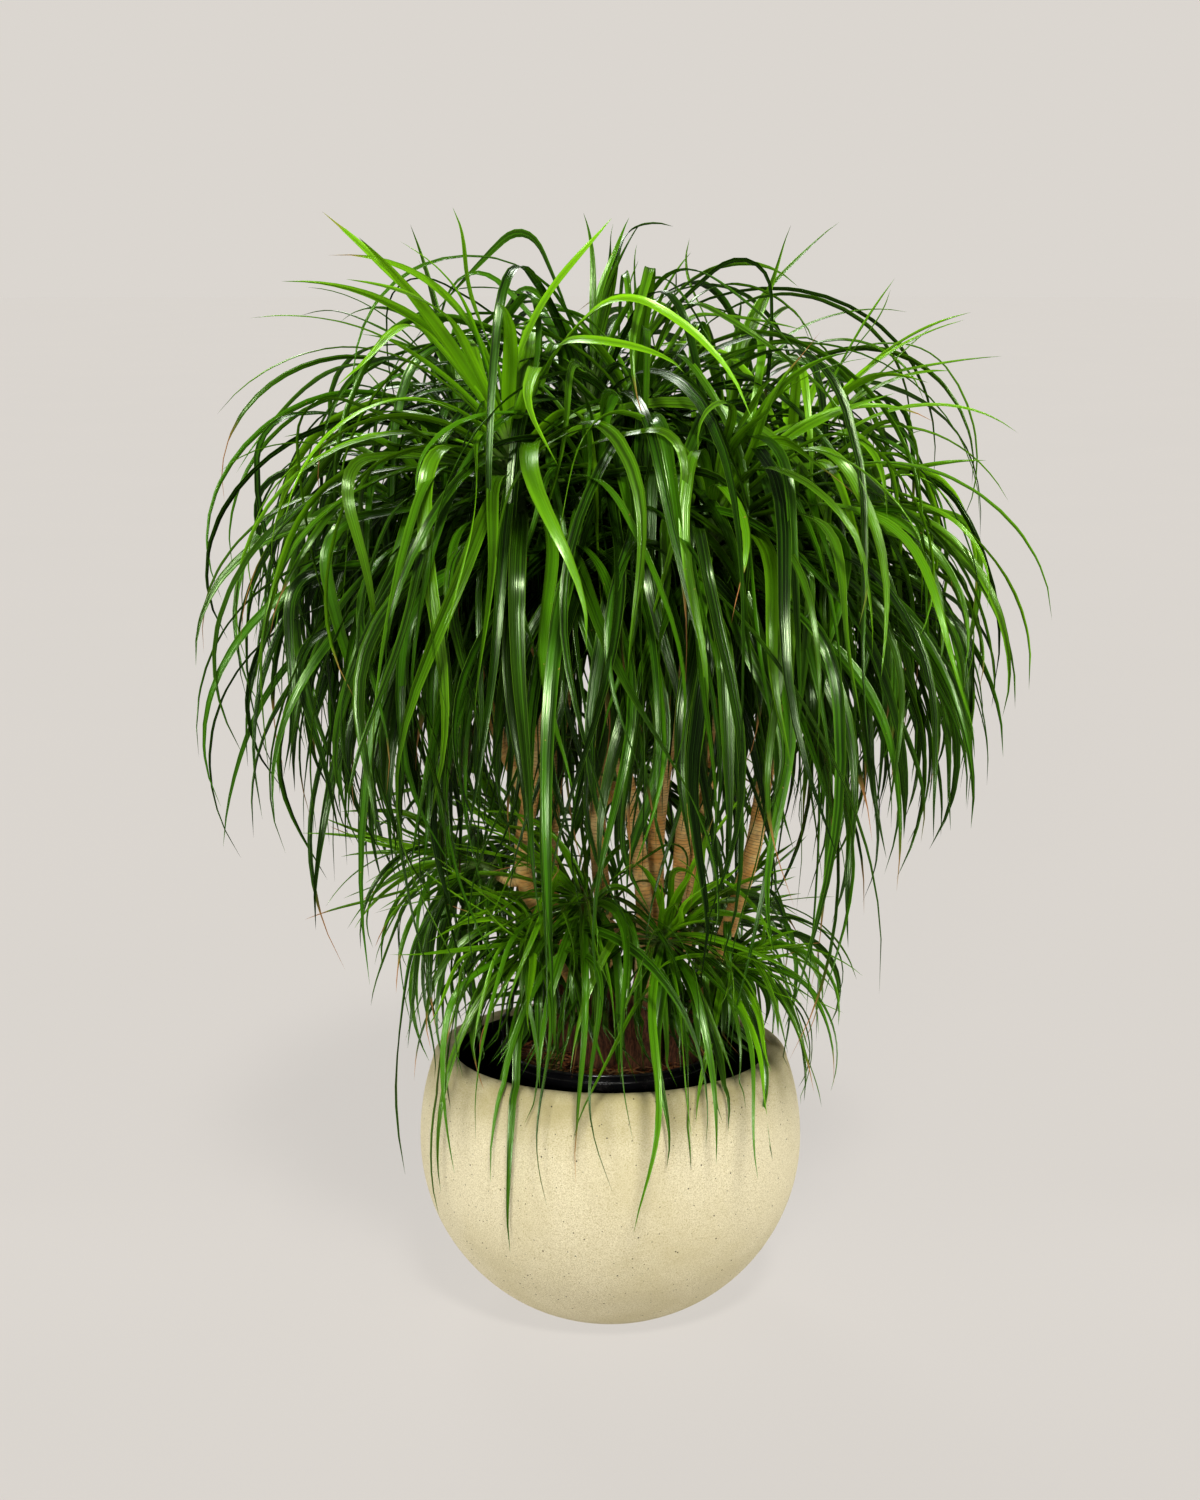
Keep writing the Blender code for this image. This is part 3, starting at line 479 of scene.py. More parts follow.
def black_plastic():
    plastic = Finish("black_plastic", roughness=0.3, specular=0.5)
    marks = plastic.fade(plastic.noise(26, 5, roughness=0.65), 0.48, 0.74)
    dust = plastic.fade(plastic.noise(340, 3), 0.50, 0.80)
    upward = plastic.node("ShaderNodeSeparateXYZ", {0: plastic.node("ShaderNodeNewGeometry").outputs["Normal"]})
    settled = plastic.fade(upward.outputs["Z"], 0.25, 1.0)
    veil = plastic.times(plastic.sums("MAXIMUM", marks, settled), plastic.plus(dust, 0.25))
    colour = plastic.blend(plastic.times(veil, 0.42), PLASTIC_BLACK, PLASTIC_DUST)
    normal = plastic.relief(plastic.noise(900), 0.0002, 0.22)
    return plastic.wear(colour, plastic.fade(veil, 0.0, 0.8, 0.22, 0.62), normal)


pot_sleeves = [sleeve(pot_rings)] + [lug_sleeve(angle) for angle in LUG_ANGLES]
pot = make_piece("nursery_pot", pot_sleeves, black_plastic(), ["grow_pot"], 50)
print("grow pot:", triangles(pot), "triangles")

# %% [markdown]
# ## The potting soil
#
# It is peat and coconut fibre with crumbs of bark, heaped a little against the stems. A height rule gives
# the top: a low mound, soft lumps as the solid has them, and finer crumbs that only this mesh can show.

# %% Soil
SOIL_TOP_Z, SOIL_MOUND, SOIL_ROOM, SOIL_SIDES = 0.331, 0.005, 0.0004, 150
PEAT_DARK, PEAT_RED, PEAT_TAN = (0.045, 0.018, 0.009), (0.30, 0.105, 0.042), (0.58, 0.27, 0.11)


def soil_height(x, y):
    """Top of the soil: the low mound with its soft lumps, and small crumbs."""
    away = np.hypot(x, y) / POT_TOP_RADIUS
    lumps = np.sin(61 * x + 1.3) * np.cos(53 * y) + 0.6 * np.sin(97 * x - 71 * y)
    crumbs = np.sin(410 * x + 3 * np.sin(230 * y)) * np.sin(370 * y + 2 * np.sin(310 * x))
    rough = 0.0016 * lumps + 0.0010 * crumbs
    return SOIL_TOP_Z + SOIL_MOUND * (1 - away * away) + rough * (1 - away ** 6)


def soil_sleeve():
    bottom = PLANTER_FLOOR + 2 * GAP + POT_FLOOR
    rim, foot = (pot_inner_radius_at(z) - GAP - SOIL_ROOM for z in (SOIL_TOP_Z, bottom))
    rings = turned([(foot, bottom)] + [(r, SOIL_TOP_Z) for r in np.linspace(rim, 0.003, 46)], SOIL_SIDES)
    rings[1:, :, 2] = soil_height(rings[1:, :, 0], rings[1:, :, 1])
    return sleeve(rings, end=(0, 0, soil_height(0.0, 0.0)))


def damp_peat():
    peat = Finish("damp_peat", roughness=0.95, specular=0.2)
    crumbs, fibres = peat.noise(420, 5, roughness=0.7), peat.stretched((900, 150, 500))
    colour = peat.coats(PEAT_DARK, (PEAT_RED, crumbs, 0.35, 0.62), (PEAT_TAN, fibres, 0.56, 0.72, 0.0, 0.8))
    return peat.wear(colour, None, peat.relief(peat.plus(crumbs, peat.cells(330)), 0.0022, 0.9))


soil = make_piece("peat_soil", [soil_sleeve()], damp_peat(), ["potting_soil"], 70)
print("soil:", triangles(soil), "triangles, top at", round(1000 * SOIL_TOP_Z), "mm")

# %% [markdown]
# ## The canes
#
# A cane is the bare part of a stem. Leaves once grew all along it, and each left a thin scar right round it
# when it fell, so a cane looks like a stack of fine rings, closest near the crown. Low down it swells into a
# rough, red brown foot. The waypoints below are those of the solids, in millimetres. A smooth curve runs
# through them.

# %% Waypoints of the stems
Stem = namedtuple("Stem", "foot swell cane branches twigs")


def metres(values):
    """The same values, however nested, in metres."""
    return tuple(metres(value) for value in values) if isinstance(values, (tuple, list)) else values / 1000


def stem(foot, swell, cane, branches=(), twigs=()):
    """A stem from its foot (x, y), the radius of its swollen foot and the waypoints of all its lines."""
    return Stem(*metres((foot, swell, cane, branches, twigs)))


STEMS = {
    "stem_1": stem(
        (-22, -30), 30,
        [(-37, -35, 430), (-89, -50, 516), (-113, -60, 616), (-100, -62, 720), (-90, -64, 860), (-108, -88, 1015)],
        [[(-102, -61, 690), (-135, -40, 755), (-166, -16, 830), (-184, -4, 905)]],
        [[(-111, -59, 590), (-128, -56, 586), (-146, -52, 594)],
         [(-66, -44, 478), (-73, -62, 484), (-80, -78, 498)]]),
    "stem_2": stem(
        (-60, 50), 29,
        [(-72, 68, 450), (-81, 80, 580), (-74, 82, 700), (-60, 100, 820), (-46, 122, 940), (-34, 140, 1085)],
        [[(-73, 84, 730), (-108, 104, 830), (-148, 130, 935), (-170, 150, 1030)]],
        [[(-80, 78, 560), (-92, 98, 562), (-104, 116, 576)]]),
    "stem_3": stem(
        (4, 38), 27,
        [(-2, 48, 450), (-15, 52, 600), (-15, 51, 719), (-2, 50, 840), (10, 50, 950), (19, 52, 1050)],
        [],
        [[(-15, 52, 665), (-2, 74, 670), (8, 92, 684)]]),
    "stem_4": stem(
        (40, -34), 29,
        [(42, -36, 430), (44, -42, 551), (32, -44, 651), (12, -46, 760), (-3, -43, 850), (-8, -44, 930)],
        [],
        [[(43, -39, 500), (18, -52, 512), (-10, -62, 540)], [(42, -37, 462), (50, -58, 474), (58, -78, 496)]]),
    "stem_5": stem(
        (72, 30), 23,
        [(66, 14, 450), (60, 4, 560), (62, -2, 655), (74, -24, 760), (92, -52, 860), (106, -76, 935)]),
    "stem_6": stem(
        (50, 78), 26,
        [(78, 62, 450), (92, 42, 560), (100, 32, 650), (125, 24, 755), (166, 24, 865), (197, 30, 965)],
        [[(86, 51, 505), (114, 66, 590), (130, 78, 690), (136, 104, 800), (141, 142, 920), (148, 168, 1025)]],
        [[(80, 60, 462), (98, 80, 462), (114, 98, 474)]]),
    "stem_7": stem(
        (94, -16), 23,
        [(124, -6, 437), (154, 0, 505), (186, 2, 610), (202, 10, 705), (222, 30, 800), (244, 46, 885)],
        [],
        [[(131, -4, 450), (136, -24, 450), (142, -42, 460)]]),
}
print("stems:", len(STEMS), "with", sum(len(plan.branches) for plan in STEMS.values()), "branches")

# %% [markdown]
# A Catmull-Rom curve passes through its waypoints, so a cane bends without corners. The curve is read off at
# steps of two millimetres, which is close enough to set a ring anywhere on it by plain interpolation.

# %% Lines of the canes
STEM_FOOT_Z, SWELL_HOLD, SWELL_FADE = 0.262, 0.018, 0.115
CANE_START_Z = SOIL_TOP_Z + 0.6 * SWELL_HOLD
FINE_STEP, SOLID_STEP = 0.002, 0.050
CANE_RADIUS, CANE_TIP_RADIUS, TWIG_RADIUS = 0.0118, 0.0100, 0.0070
Line = namedtuple("Line", "points along travelled radii")


def rounded_path(points, step):
    """A smooth curve through the points, read off about every step, with its unit directions."""
    knots = [np.array(p, float) for p in points]
    knots = [2 * knots[0] - knots[1], *knots, 2 * knots[-1] - knots[-2]]
    out = []
    for a, b, c, d in zip(knots, knots[1:], knots[2:], knots[3:]):
        count = max(1, round(np.linalg.norm(c - b) / step))
        for t in np.arange(count) / count:
            out.append(0.5 * (2 * b + (c - a) * t + (2 * a - 5 * b + 4 * c - d) * t ** 2
                              + (3 * b - a - 3 * c + d) * t ** 3))
    out = np.array(out + [knots[-2]])
    along = np.gradient(out, axis=0)
    along[-1] = out[-1] - out[-2]
    return out, unit(along)


def swell_at(z):
    """Share of the swollen foot at height z: 1 in the soil, 0 on the bare cane."""
    above = np.clip((z - SOIL_TOP_Z - SWELL_HOLD) / SWELL_FADE, 0, 1)
    return (1 - above) ** 2 * (1 + 2 * above)


def cane_line(waypoints, start, end, swell=None):
    """A line whose radius goes from start to end, and to swell in its swollen foot."""
    points, along = rounded_path(waypoints, FINE_STEP)
    travelled = distances_along(points)
    radii = start + (end - start) * travelled / travelled[-1]
    if swell is not None:
        radii = radii + (swell - radii) * swell_at(points[:, 2])
    return Line(points, along, travelled, radii)


def stem_lines(plan):
    """Every line of a stem by (kind, index); the main cane starts in the soil."""
    cane = [(*plan.foot, STEM_FOOT_Z), (*plan.foot, CANE_START_Z), *plan.cane]
    lines = {("cane", 0): cane_line(cane, CANE_RADIUS, CANE_TIP_RADIUS, plan.swell)}
    for kind, courses, radius in (("branches", plan.branches, CANE_TIP_RADIUS), ("twigs", plan.twigs, TWIG_RADIUS)):
        for n, course in enumerate(courses):
            lines[kind, n] = cane_line(course, radius, 0.95 * radius)
    return lines


all_lines = {name: stem_lines(plan) for name, plan in STEMS.items()}
print("longest cane:", round(max(lines["cane", 0].travelled[-1] for lines in all_lines.values()), 2), "m")

# %% [markdown]
# The scars are cut into the mesh, not only drawn, so a cane keeps its notched outline from close by. Between
# two scars lies a smooth barrel. Each scar takes three rings: its two edges and its floor. The gap between
# scars narrows towards the crown, where the plant grew slowly, and each scar sits a little askew.

# %% Scars along a cane
SCAR_GAP_LOW, SCAR_GAP_HIGH, SCAR_DEPTH, SCAR_HALF = 0.0062, 0.0030, 0.00055, 0.00055
BARREL_BULGE, SCAR_TILT, CANE_SIDES = 0.35, 0.0007, 18


def scar_places(length, draw):
    """Distances along a cane at which its leaf scars lie."""
    places, at = [], 0.004
    while at < length - 0.002:
        places.append(at)
        share = at / length
        at += (SCAR_GAP_LOW + (SCAR_GAP_HIGH - SCAR_GAP_LOW) * share) * draw.uniform(0.72, 1.3)
    return np.array(places)


def square_to(way, side):
    """side turned square to way, and the direction square to both."""
    side = (side - way * side.dot(way)).normalized()
    return side, way.cross(side)


def round_ring(turns, radii, side, other):
    return np.outer(radii * np.cos(turns), side) + np.outer(radii * np.sin(turns), other)


def cane_sleeve(line, draw):
    """A ringed cane. Its swollen foot is lumpy and ridged lengthwise, and has no scars."""
    scars = scar_places(line.travelled[-1], draw)
    middles = (scars[1:] + scars[:-1]) / 2
    at = np.concatenate([[0.0], scars - SCAR_HALF, scars, scars + SCAR_HALF, middles, [line.travelled[-1]]])
    depth = np.concatenate([[0], 0 * scars, 0 * scars + 1, 0 * scars, 0 * middles - BARREL_BULGE, [0]])
    order = np.argsort(at)
    at, depth = at[order], depth[order]
    points, ways = (np.stack([np.interp(at, line.travelled, axis) for axis in rows.T], axis=1)
                    for rows in (line.points, line.along))
    radii = np.interp(at, line.travelled, line.radii)
    foot = np.clip((radii - CANE_RADIUS) / 0.009, 0, 1)
    turns, rings, side = ring_turns(CANE_SIDES), [], Vector((1, 0, 0))
    lean, phase = draw.uniform(0, math.tau), draw.uniform(0, math.tau, 3)
    for place, way, radius, cut, swollen, s in zip(points, unit(ways), radii, depth, foot, at):
        way = Vector(way)
        side, other = square_to(way, side)
        lumps = np.sin(3 * turns + phase[0] + 31 * s) + np.sin(5 * turns + phase[1] - 47 * s)
        ridges = np.sin(9 * turns + phase[2] + 12 * math.sin(60 * s))
        rough = radius * swollen * (0.022 * lumps + 0.014 * ridges - 0.02)
        grown = radius - SCAR_DEPTH * cut * (1 - swollen) + rough
        askew = SCAR_TILT * np.cos(turns - lean - 9 * s) * (1 - swollen)
        rings.append(place + round_ring(turns, grown, side, other) + np.outer(askew, way))
    return sleeve(rings, scar=np.maximum(depth, 0)[:, None], foot=foot[:, None])


test_scars = scar_places(0.7, np.random.default_rng(0))
print("a 0.7 m cane has", len(test_scars), "scars")


# %% [markdown]
# Bark goes from pale straw on the youngest part, through orange tan, to a dark red brown on the foot, whose
# skin is split into fibres. The scars are thin dark lines. Fine cross wrinkles and a few grey blotches of
# dead skin keep the barrels between the scars from looking machined.

# %% Ringed bark
BARK_STRAW, BARK_TAN, BARK_GREY = (0.98, 0.72, 0.32), (0.92, 0.50, 0.15), (0.62, 0.39, 0.17)
SCAR_BROWN, FOOT_RED, FOOT_DARK = (0.095, 0.042, 0.018), (0.300, 0.125, 0.058), (0.070, 0.028, 0.014)


def ringed_bark():
    bark = Finish("ringed_bark", roughness=0.7, specular=0.3)
    patches, fine = bark.noise(38, 4), bark.stretched((160, 160, 1500))
    threads = bark.stretched((520, 520, 70), 5, roughness=0.7)
    worn, foot = bark.fade(bark.noise(55), 0.35, 0.65, 0.30, 0.85), bark.stored("foot")
    colour = bark.coats(BARK_STRAW, (BARK_TAN, patches, 0.32, 0.68),
                        (BARK_GREY, bark.noise(90, 3), 0.55, 0.72, 0.0, 0.7),
                        (SCAR_BROWN, fine, 0.5, 0.8, 0.0, 0.45))
    colour = bark.blend(bark.times(bark.stored("scar"), worn), colour, SCAR_BROWN)
    swollen = bark.coats(FOOT_DARK, (FOOT_RED, threads, 0.38, 0.64))
    colour = bark.coats(colour, (swollen, foot, 0.02, 0.75))
    split = bark.relief(bark.times(threads, bark.fade(foot, 0.0, 0.6, 0.15, 1.0)), 0.0040, 0.8)
    return bark.wear(colour, bark.fade(patches, 0.3, 0.7, 0.58, 0.85), bark.relief(fine, 0.0004, 0.5, over=split))


bark = ringed_bark()
cane_triangles = 0
for number, (name, lines) in enumerate(all_lines.items(), 1):
    draw = np.random.default_rng([5, number])
    sleeves = [cane_sleeve(line, draw) for line in lines.values()]
    cane_triangles += triangles(make_piece(f"cane_{number}", sleeves, bark, [name], 60))
print("canes:", len(all_lines), "with", cane_triangles, "triangles")

# %% [markdown]
# ## Chips and fibres on the soil
#
# The top of the soil is strewn with bark chips and strands of coconut fibre, in every shade from dark brown
# to orange. A particle system could scatter them, but it would leave no mesh behind. Here each chip is a
# small sleeve of its own: three uneven rings, pressed flat and turned at random. The draw is seeded, so the
# same chips fall in the same places each time.

# %% Bark chips
CHIPS, FIBRES, CHIP_SIDES = 520, 90, 6


def on_the_soil(draw):
    """A place on the soil, clear of the swollen feet."""
    while True:
        away, turn = (POT_TOP_RADIUS - 0.012) * math.sqrt(draw.uniform()), draw.uniform(0, math.tau)
        x, y = away * math.cos(turn), away * math.sin(turn)
        if all(math.dist((x, y), plan.foot) > plan.swell + 0.001 for plan in STEMS.values()):
            return np.array([x, y, float(soil_height(x, y))])


def chip_sleeve(draw):
    """A flat splinter of bark: three uneven rings, tipped, turned and laid on the soil."""
    long, wide, thick = draw.uniform(0.002, 0.0075), draw.uniform(0.0016, 0.0042), draw.uniform(0.0006, 0.0016)
    turn, tip, roll = draw.uniform(0, math.tau), draw.normal(0, 0.30), draw.normal(0, 0.4)
    turns = ring_turns(CHIP_SIDES) + roll
    rings = []
    for along, girth in ((-0.85, 0.55), (0.0, 1.0), (0.8, 0.5)):
        uneven = draw.uniform(0.75, 1.2, CHIP_SIDES) * girth
        rings.append(np.stack([np.full(CHIP_SIDES, along * long), wide * uneven * np.cos(turns),
                               thick * uneven * np.sin(turns)], axis=1))
    lift = np.array([[math.cos(tip), 0, -math.sin(tip)], [0, 1, 0], [math.sin(tip), 0, math.cos(tip)]])
    spin = np.array([[math.cos(turn), -math.sin(turn), 0], [math.sin(turn), math.cos(turn), 0], [0, 0, 1]])
    place = on_the_soil(draw) + (0, 0, 0.5 * thick + 0.0004)
    tips = spin @ lift @ (long, 0, 0)
    return sleeve(rings @ lift.T @ spin.T + place, place - tips, place + tips, tone=draw.uniform())


def fibre_sleeve(draw):
    """A strand that lies on the soil: it follows the ground and curls from side to side."""
    start, turn, length = on_the_soil(draw), draw.uniform(0, math.tau), draw.uniform(0.015, 0.055)
    share = np.linspace(0, 1, 9)
    turns = turn + draw.normal(0, 0.9) * share + 0.5 * np.sin(draw.uniform(3, 9) * share)
    x = start[0] + np.cumsum(np.cos(turns)) * length / len(share)
    y = start[1] + np.cumsum(np.sin(turns)) * length / len(share)
    reach = POT_TOP_RADIUS - 0.008
    drawn_in = reach / np.maximum(np.hypot(x, y), reach)
    x, y = x * drawn_in, y * drawn_in
    z = soil_height(x, y) + 0.0016 + 0.002 * np.sin(math.pi * share) * draw.uniform(0, 1)
    turns = ring_turns(4)[None, :]
    girth = draw.uniform(0.00025, 0.0006)
    rings = np.stack([x[:, None] + girth * np.cos(turns), y[:, None] + girth * np.cos(turns) * 0.5,
                      z[:, None] + girth * np.sin(turns)], axis=-1)
    return sleeve(rings, tone=draw.uniform(0.6, 1.0))


print("one chip:", chip_sleeve(np.random.default_rng(1)).rings.shape[0], "rings of", CHIP_SIDES, "points")


# %% Spread the litter
CHIP_BROWN, CHIP_RED = (0.09, 0.034, 0.016), (0.56, 0.20, 0.070)
FIBRE_ORANGE, CHIP_STREAK = (0.78, 0.46, 0.22), (0.07, 0.028, 0.012)


def bark_chip():
    chip = Finish("bark_chip", roughness=0.85, specular=0.25)
    tone, streaks = chip.stored("tone"), chip.stretched((1400, 380, 900))
    colour = chip.coats(CHIP_BROWN, (CHIP_RED, tone, 0.1, 0.55), (FIBRE_ORANGE, tone, 0.60, 0.97),
                        (CHIP_STREAK, streaks, 0.45, 0.75, 0.0, 0.6))
    return chip.wear(colour, None, chip.relief(streaks, 0.0006, 0.7))


draw = np.random.default_rng(17)
loose = [chip_sleeve(draw) for _ in range(CHIPS)] + [fibre_sleeve(draw) for _ in range(FIBRES)]
chips = make_piece("bark_chips", loose, bark_chip(), columns=26, sharp_from=30)
print("on the soil:", CHIPS, "chips and", FIBRES, "fibres,", triangles(chips), "triangles")

# %% [markdown]
# ## How a leaf runs
#
# A leaf's course is one rule, the same as in the solids, with the same seeded draws. The oldest leaves sit
# lowest and start out level. The youngest stand nearly upright. Each next leaf turns by the golden angle, so
# none lies over the last. The line starts at its rise, bends over evenly under its own weight, and wanders a
# little sideways. Where it would fall inside the planter's mouth it is shortened or draped over the rim.

# %% Crowns and the numbers behind a leaf
SEED, LEAF_STEPS, GOLDEN_TURN = 41, 40, math.radians(137.508)
LEAF_BEND, LEAF_ROOT_WIDTH, LEAF_FULL_AT = 0.68, 0.55, 0.26
LEAF_TAPER_FROM, LEAF_TAPER_POWER = 0.42, 1.5
LEAF_CREASE, LEAF_SWING = 0.75, 0.42
OLDEST_RISE, RISE_SPAN, HANGING_RISE, STANDING_RISE, LEAF_DRIFT, LEAF_TWIST = 3, 80, -106, 40, 30, 60
MOUTH_GUARD_Z, MOUTH_GUARD_RADIUS, DRAPE_FROM_Z, DRAPE_CLEARANCE = 0.368, 0.226, 0.43, 0.014
DRAPE_START, SHORTEST_LEAF = 0.17, 0.05

# A crown's number, where it sits, the length of its leafy shaft, its leaves, how long and how wide the grown
# and the youngest ones are, how strongly they lean out of the tree, the share of young leaves that stand, and
# the height of the hem below which none hangs. The side shoots have some of these in common.
Crown = namedtuple("Crown", "number end shaft leaves length young_length width young_width lean fresh hem")
CROWN_ROWS = (
    (0.165, 66, 0.57, 0.33, 0.0200, 0.0185, 0.45, 0.36, 0.63),
    (0.145, 63, 0.50, 0.22, 0.0185, 0.0120, 0.35, 0.20, 0.59),
    (0.150, 63, 0.64, 0.25, 0.0185, 0.0110, 0.45, 0.20, 0.64),
    (0.150, 63, 0.54, 0.26, 0.0185, 0.0110, 0.40, 0.20, 0.62),
    (0.160, 66, 0.60, 0.22, 0.0190, 0.0130, 0.20, 0.22, 0.66),
    (0.130, 60, 0.54, 0.24, 0.0200, 0.0140, 0.60, 0.20, 0.62),
    (0.155, 66, 0.51, 0.26, 0.0200, 0.0150, 0.50, 0.22, 0.61),
    (0.160, 66, 0.43, 0.28, 0.0190, 0.0150, 0.20, 0.30, 0.61),
    (0.150, 63, 0.53, 0.30, 0.0185, 0.0110, 0.30, 0.20, 0.63),
    (0.145, 63, 0.37, 0.21, 0.0185, 0.0130, 0.15, 0.25, 0.60),
)
SHOOT_LEAVES, SHOOT_FRESH, SHOOT_HEM = 36, 0.55, 0.20
SHOOT_ROWS = (
    (0.060, 0.25, 0.17, 0.0115, 0.0090, 0.35),
    (0.055, 0.28, 0.22, 0.0125, 0.0095, 0.45),
    (0.060, 0.29, 0.22, 0.0115, 0.0090, 0.30),
    (0.065, 0.32, 0.25, 0.0120, 0.0090, 0.10),
    (0.055, 0.28, 0.22, 0.0125, 0.0095, 0.40),
    (0.060, 0.31, 0.23, 0.0130, 0.0095, 0.50),
    (0.060, 0.28, 0.18, 0.0115, 0.0090, 0.30),
    (0.060, 0.26, 0.16, 0.0125, 0.0095, 0.20),
)
ends = [(name, *line) for name, lines in all_lines.items() for line in lines]
crown_ends, shoot_ends = ([end for end in ends if (end[1] == "twigs") == low] for low in (False, True))
CROWNS = {f"crown_{n + 1}": Crown(n, end, *row) for n, (end, row) in enumerate(zip(crown_ends, CROWN_ROWS))}
for n, (end, (shaft, *leaf, lean)) in enumerate(zip(shoot_ends, SHOOT_ROWS), 1):
    CROWNS[f"side_shoot_{n}"] = Crown(len(CROWNS), end, shaft, SHOOT_LEAVES, *leaf, lean, SHOOT_FRESH, SHOOT_HEM)
print("crowns and shoots:", len(CROWNS), "with", sum(crown.leaves for crown in CROWNS.values()), "leaves")


# %% Width and drape of a leaf
def ease(t):
    t = np.clip(t, 0, 1)
    return t * t * (3 - 2 * t)


def direction(turn, rise):
    return np.stack([np.cos(rise) * np.cos(turn), np.cos(rise) * np.sin(turn), np.sin(rise)], axis=-1)


def leaf_width_at(share):
    """Width along a leaf, as a share of its widest: narrow at the root, pointed at the tip."""
    widen = LEAF_ROOT_WIDTH + (1 - LEAF_ROOT_WIDTH) * ease(share / LEAF_FULL_AT)
    past = np.clip((share - LEAF_TAPER_FROM) / (1 - LEAF_TAPER_FROM), 0, 1)
    return widen * (1 - past ** LEAF_TAPER_POWER)


def draped(points):
    """Pushes the part of a leaf that hangs past the planter's mouth out over its shoulder and side."""
    out = points.copy()
    for n, (x, y, z) in enumerate(points):
        reach = math.hypot(x, y)
        if z >= DRAPE_FROM_Z or reach < 1e-6:
            continue
        if z > SHOULDER_Z:
            share = (DRAPE_FROM_Z - z) / (DRAPE_FROM_Z - SHOULDER_Z)
            limit = DRAPE_START + (SHOULDER_REACH + DRAPE_CLEARANCE - DRAPE_START) * ease(share)
        else:
            limit = planter_radius_at(max(z, 0.0)) + DRAPE_CLEARANCE
        if reach < limit:
            out[n, :2] *= limit / reach
    return out


def falls_in_the_mouth(points):
    reach = np.hypot(points[:, 0], points[:, 1])
    return bool(np.any((points[:, 2] < MOUTH_GUARD_Z) & (reach < MOUTH_GUARD_RADIUS)))


print("near its root a leaf has", round(100 * leaf_width_at(0.05)), "% of its full width")


# %% Line and frame of a leaf
def crown_seat(crown):
    """Where a crown sits: the end of its cane, branch or twig, that end's direction and its radius."""
    name, kind, index = crown.end
    plan = STEMS[name]
    courses = {"cane": [[(*plan.foot, CANE_START_Z), *plan.cane]], "branches": plan.branches, "twigs": plan.twigs}
    points, along = rounded_path(courses[kind][index], SOLID_STEP)
    return points[-1], along[-1], all_lines[name][kind, index].radii[-1]


def leaf_line(start, turns, rises, swing, length, hem):
    """The centre points of a leaf along these turns and rises that swings a little and ends above its hem."""
    flat = np.stack([-np.sin(turns), np.cos(turns), np.zeros_like(turns)], axis=1)
    ways = unit(direction(turns, rises) + flat * swing[:, None])
    steps = (ways[1:] + ways[:-1]) / (2 * LEAF_STEPS)

    def laid_out():
        return np.vstack([start, start + np.cumsum(steps * length, axis=0)])

    points = laid_out()
    while (falls_in_the_mouth(points) or points[:, 2].min() < hem) and length > SHORTEST_LEAF:
        length *= 0.93
        points = laid_out()
    return draped(points), flat


def rolled(sides, normals, roll):
    """The side directions and face normals of a leaf, rolled about its line."""
    roll = roll[:, None]
    return sides * np.cos(roll) + normals * np.sin(roll), normals * np.cos(roll) - sides * np.sin(roll)


def leaf_frame(points, flat, roll):
    """Side directions and upper face normals along a leaf, rolled about its line."""
    ways = unit(np.gradient(points, axis=0))
    flat = unit(flat - ways * np.sum(ways * flat, axis=1)[:, None])
    return rolled(flat, np.cross(ways, flat), roll)


print("the highest crown sits at", round(max(crown_seat(crown)[0][2] for crown in CROWNS.values()), 2), "m")


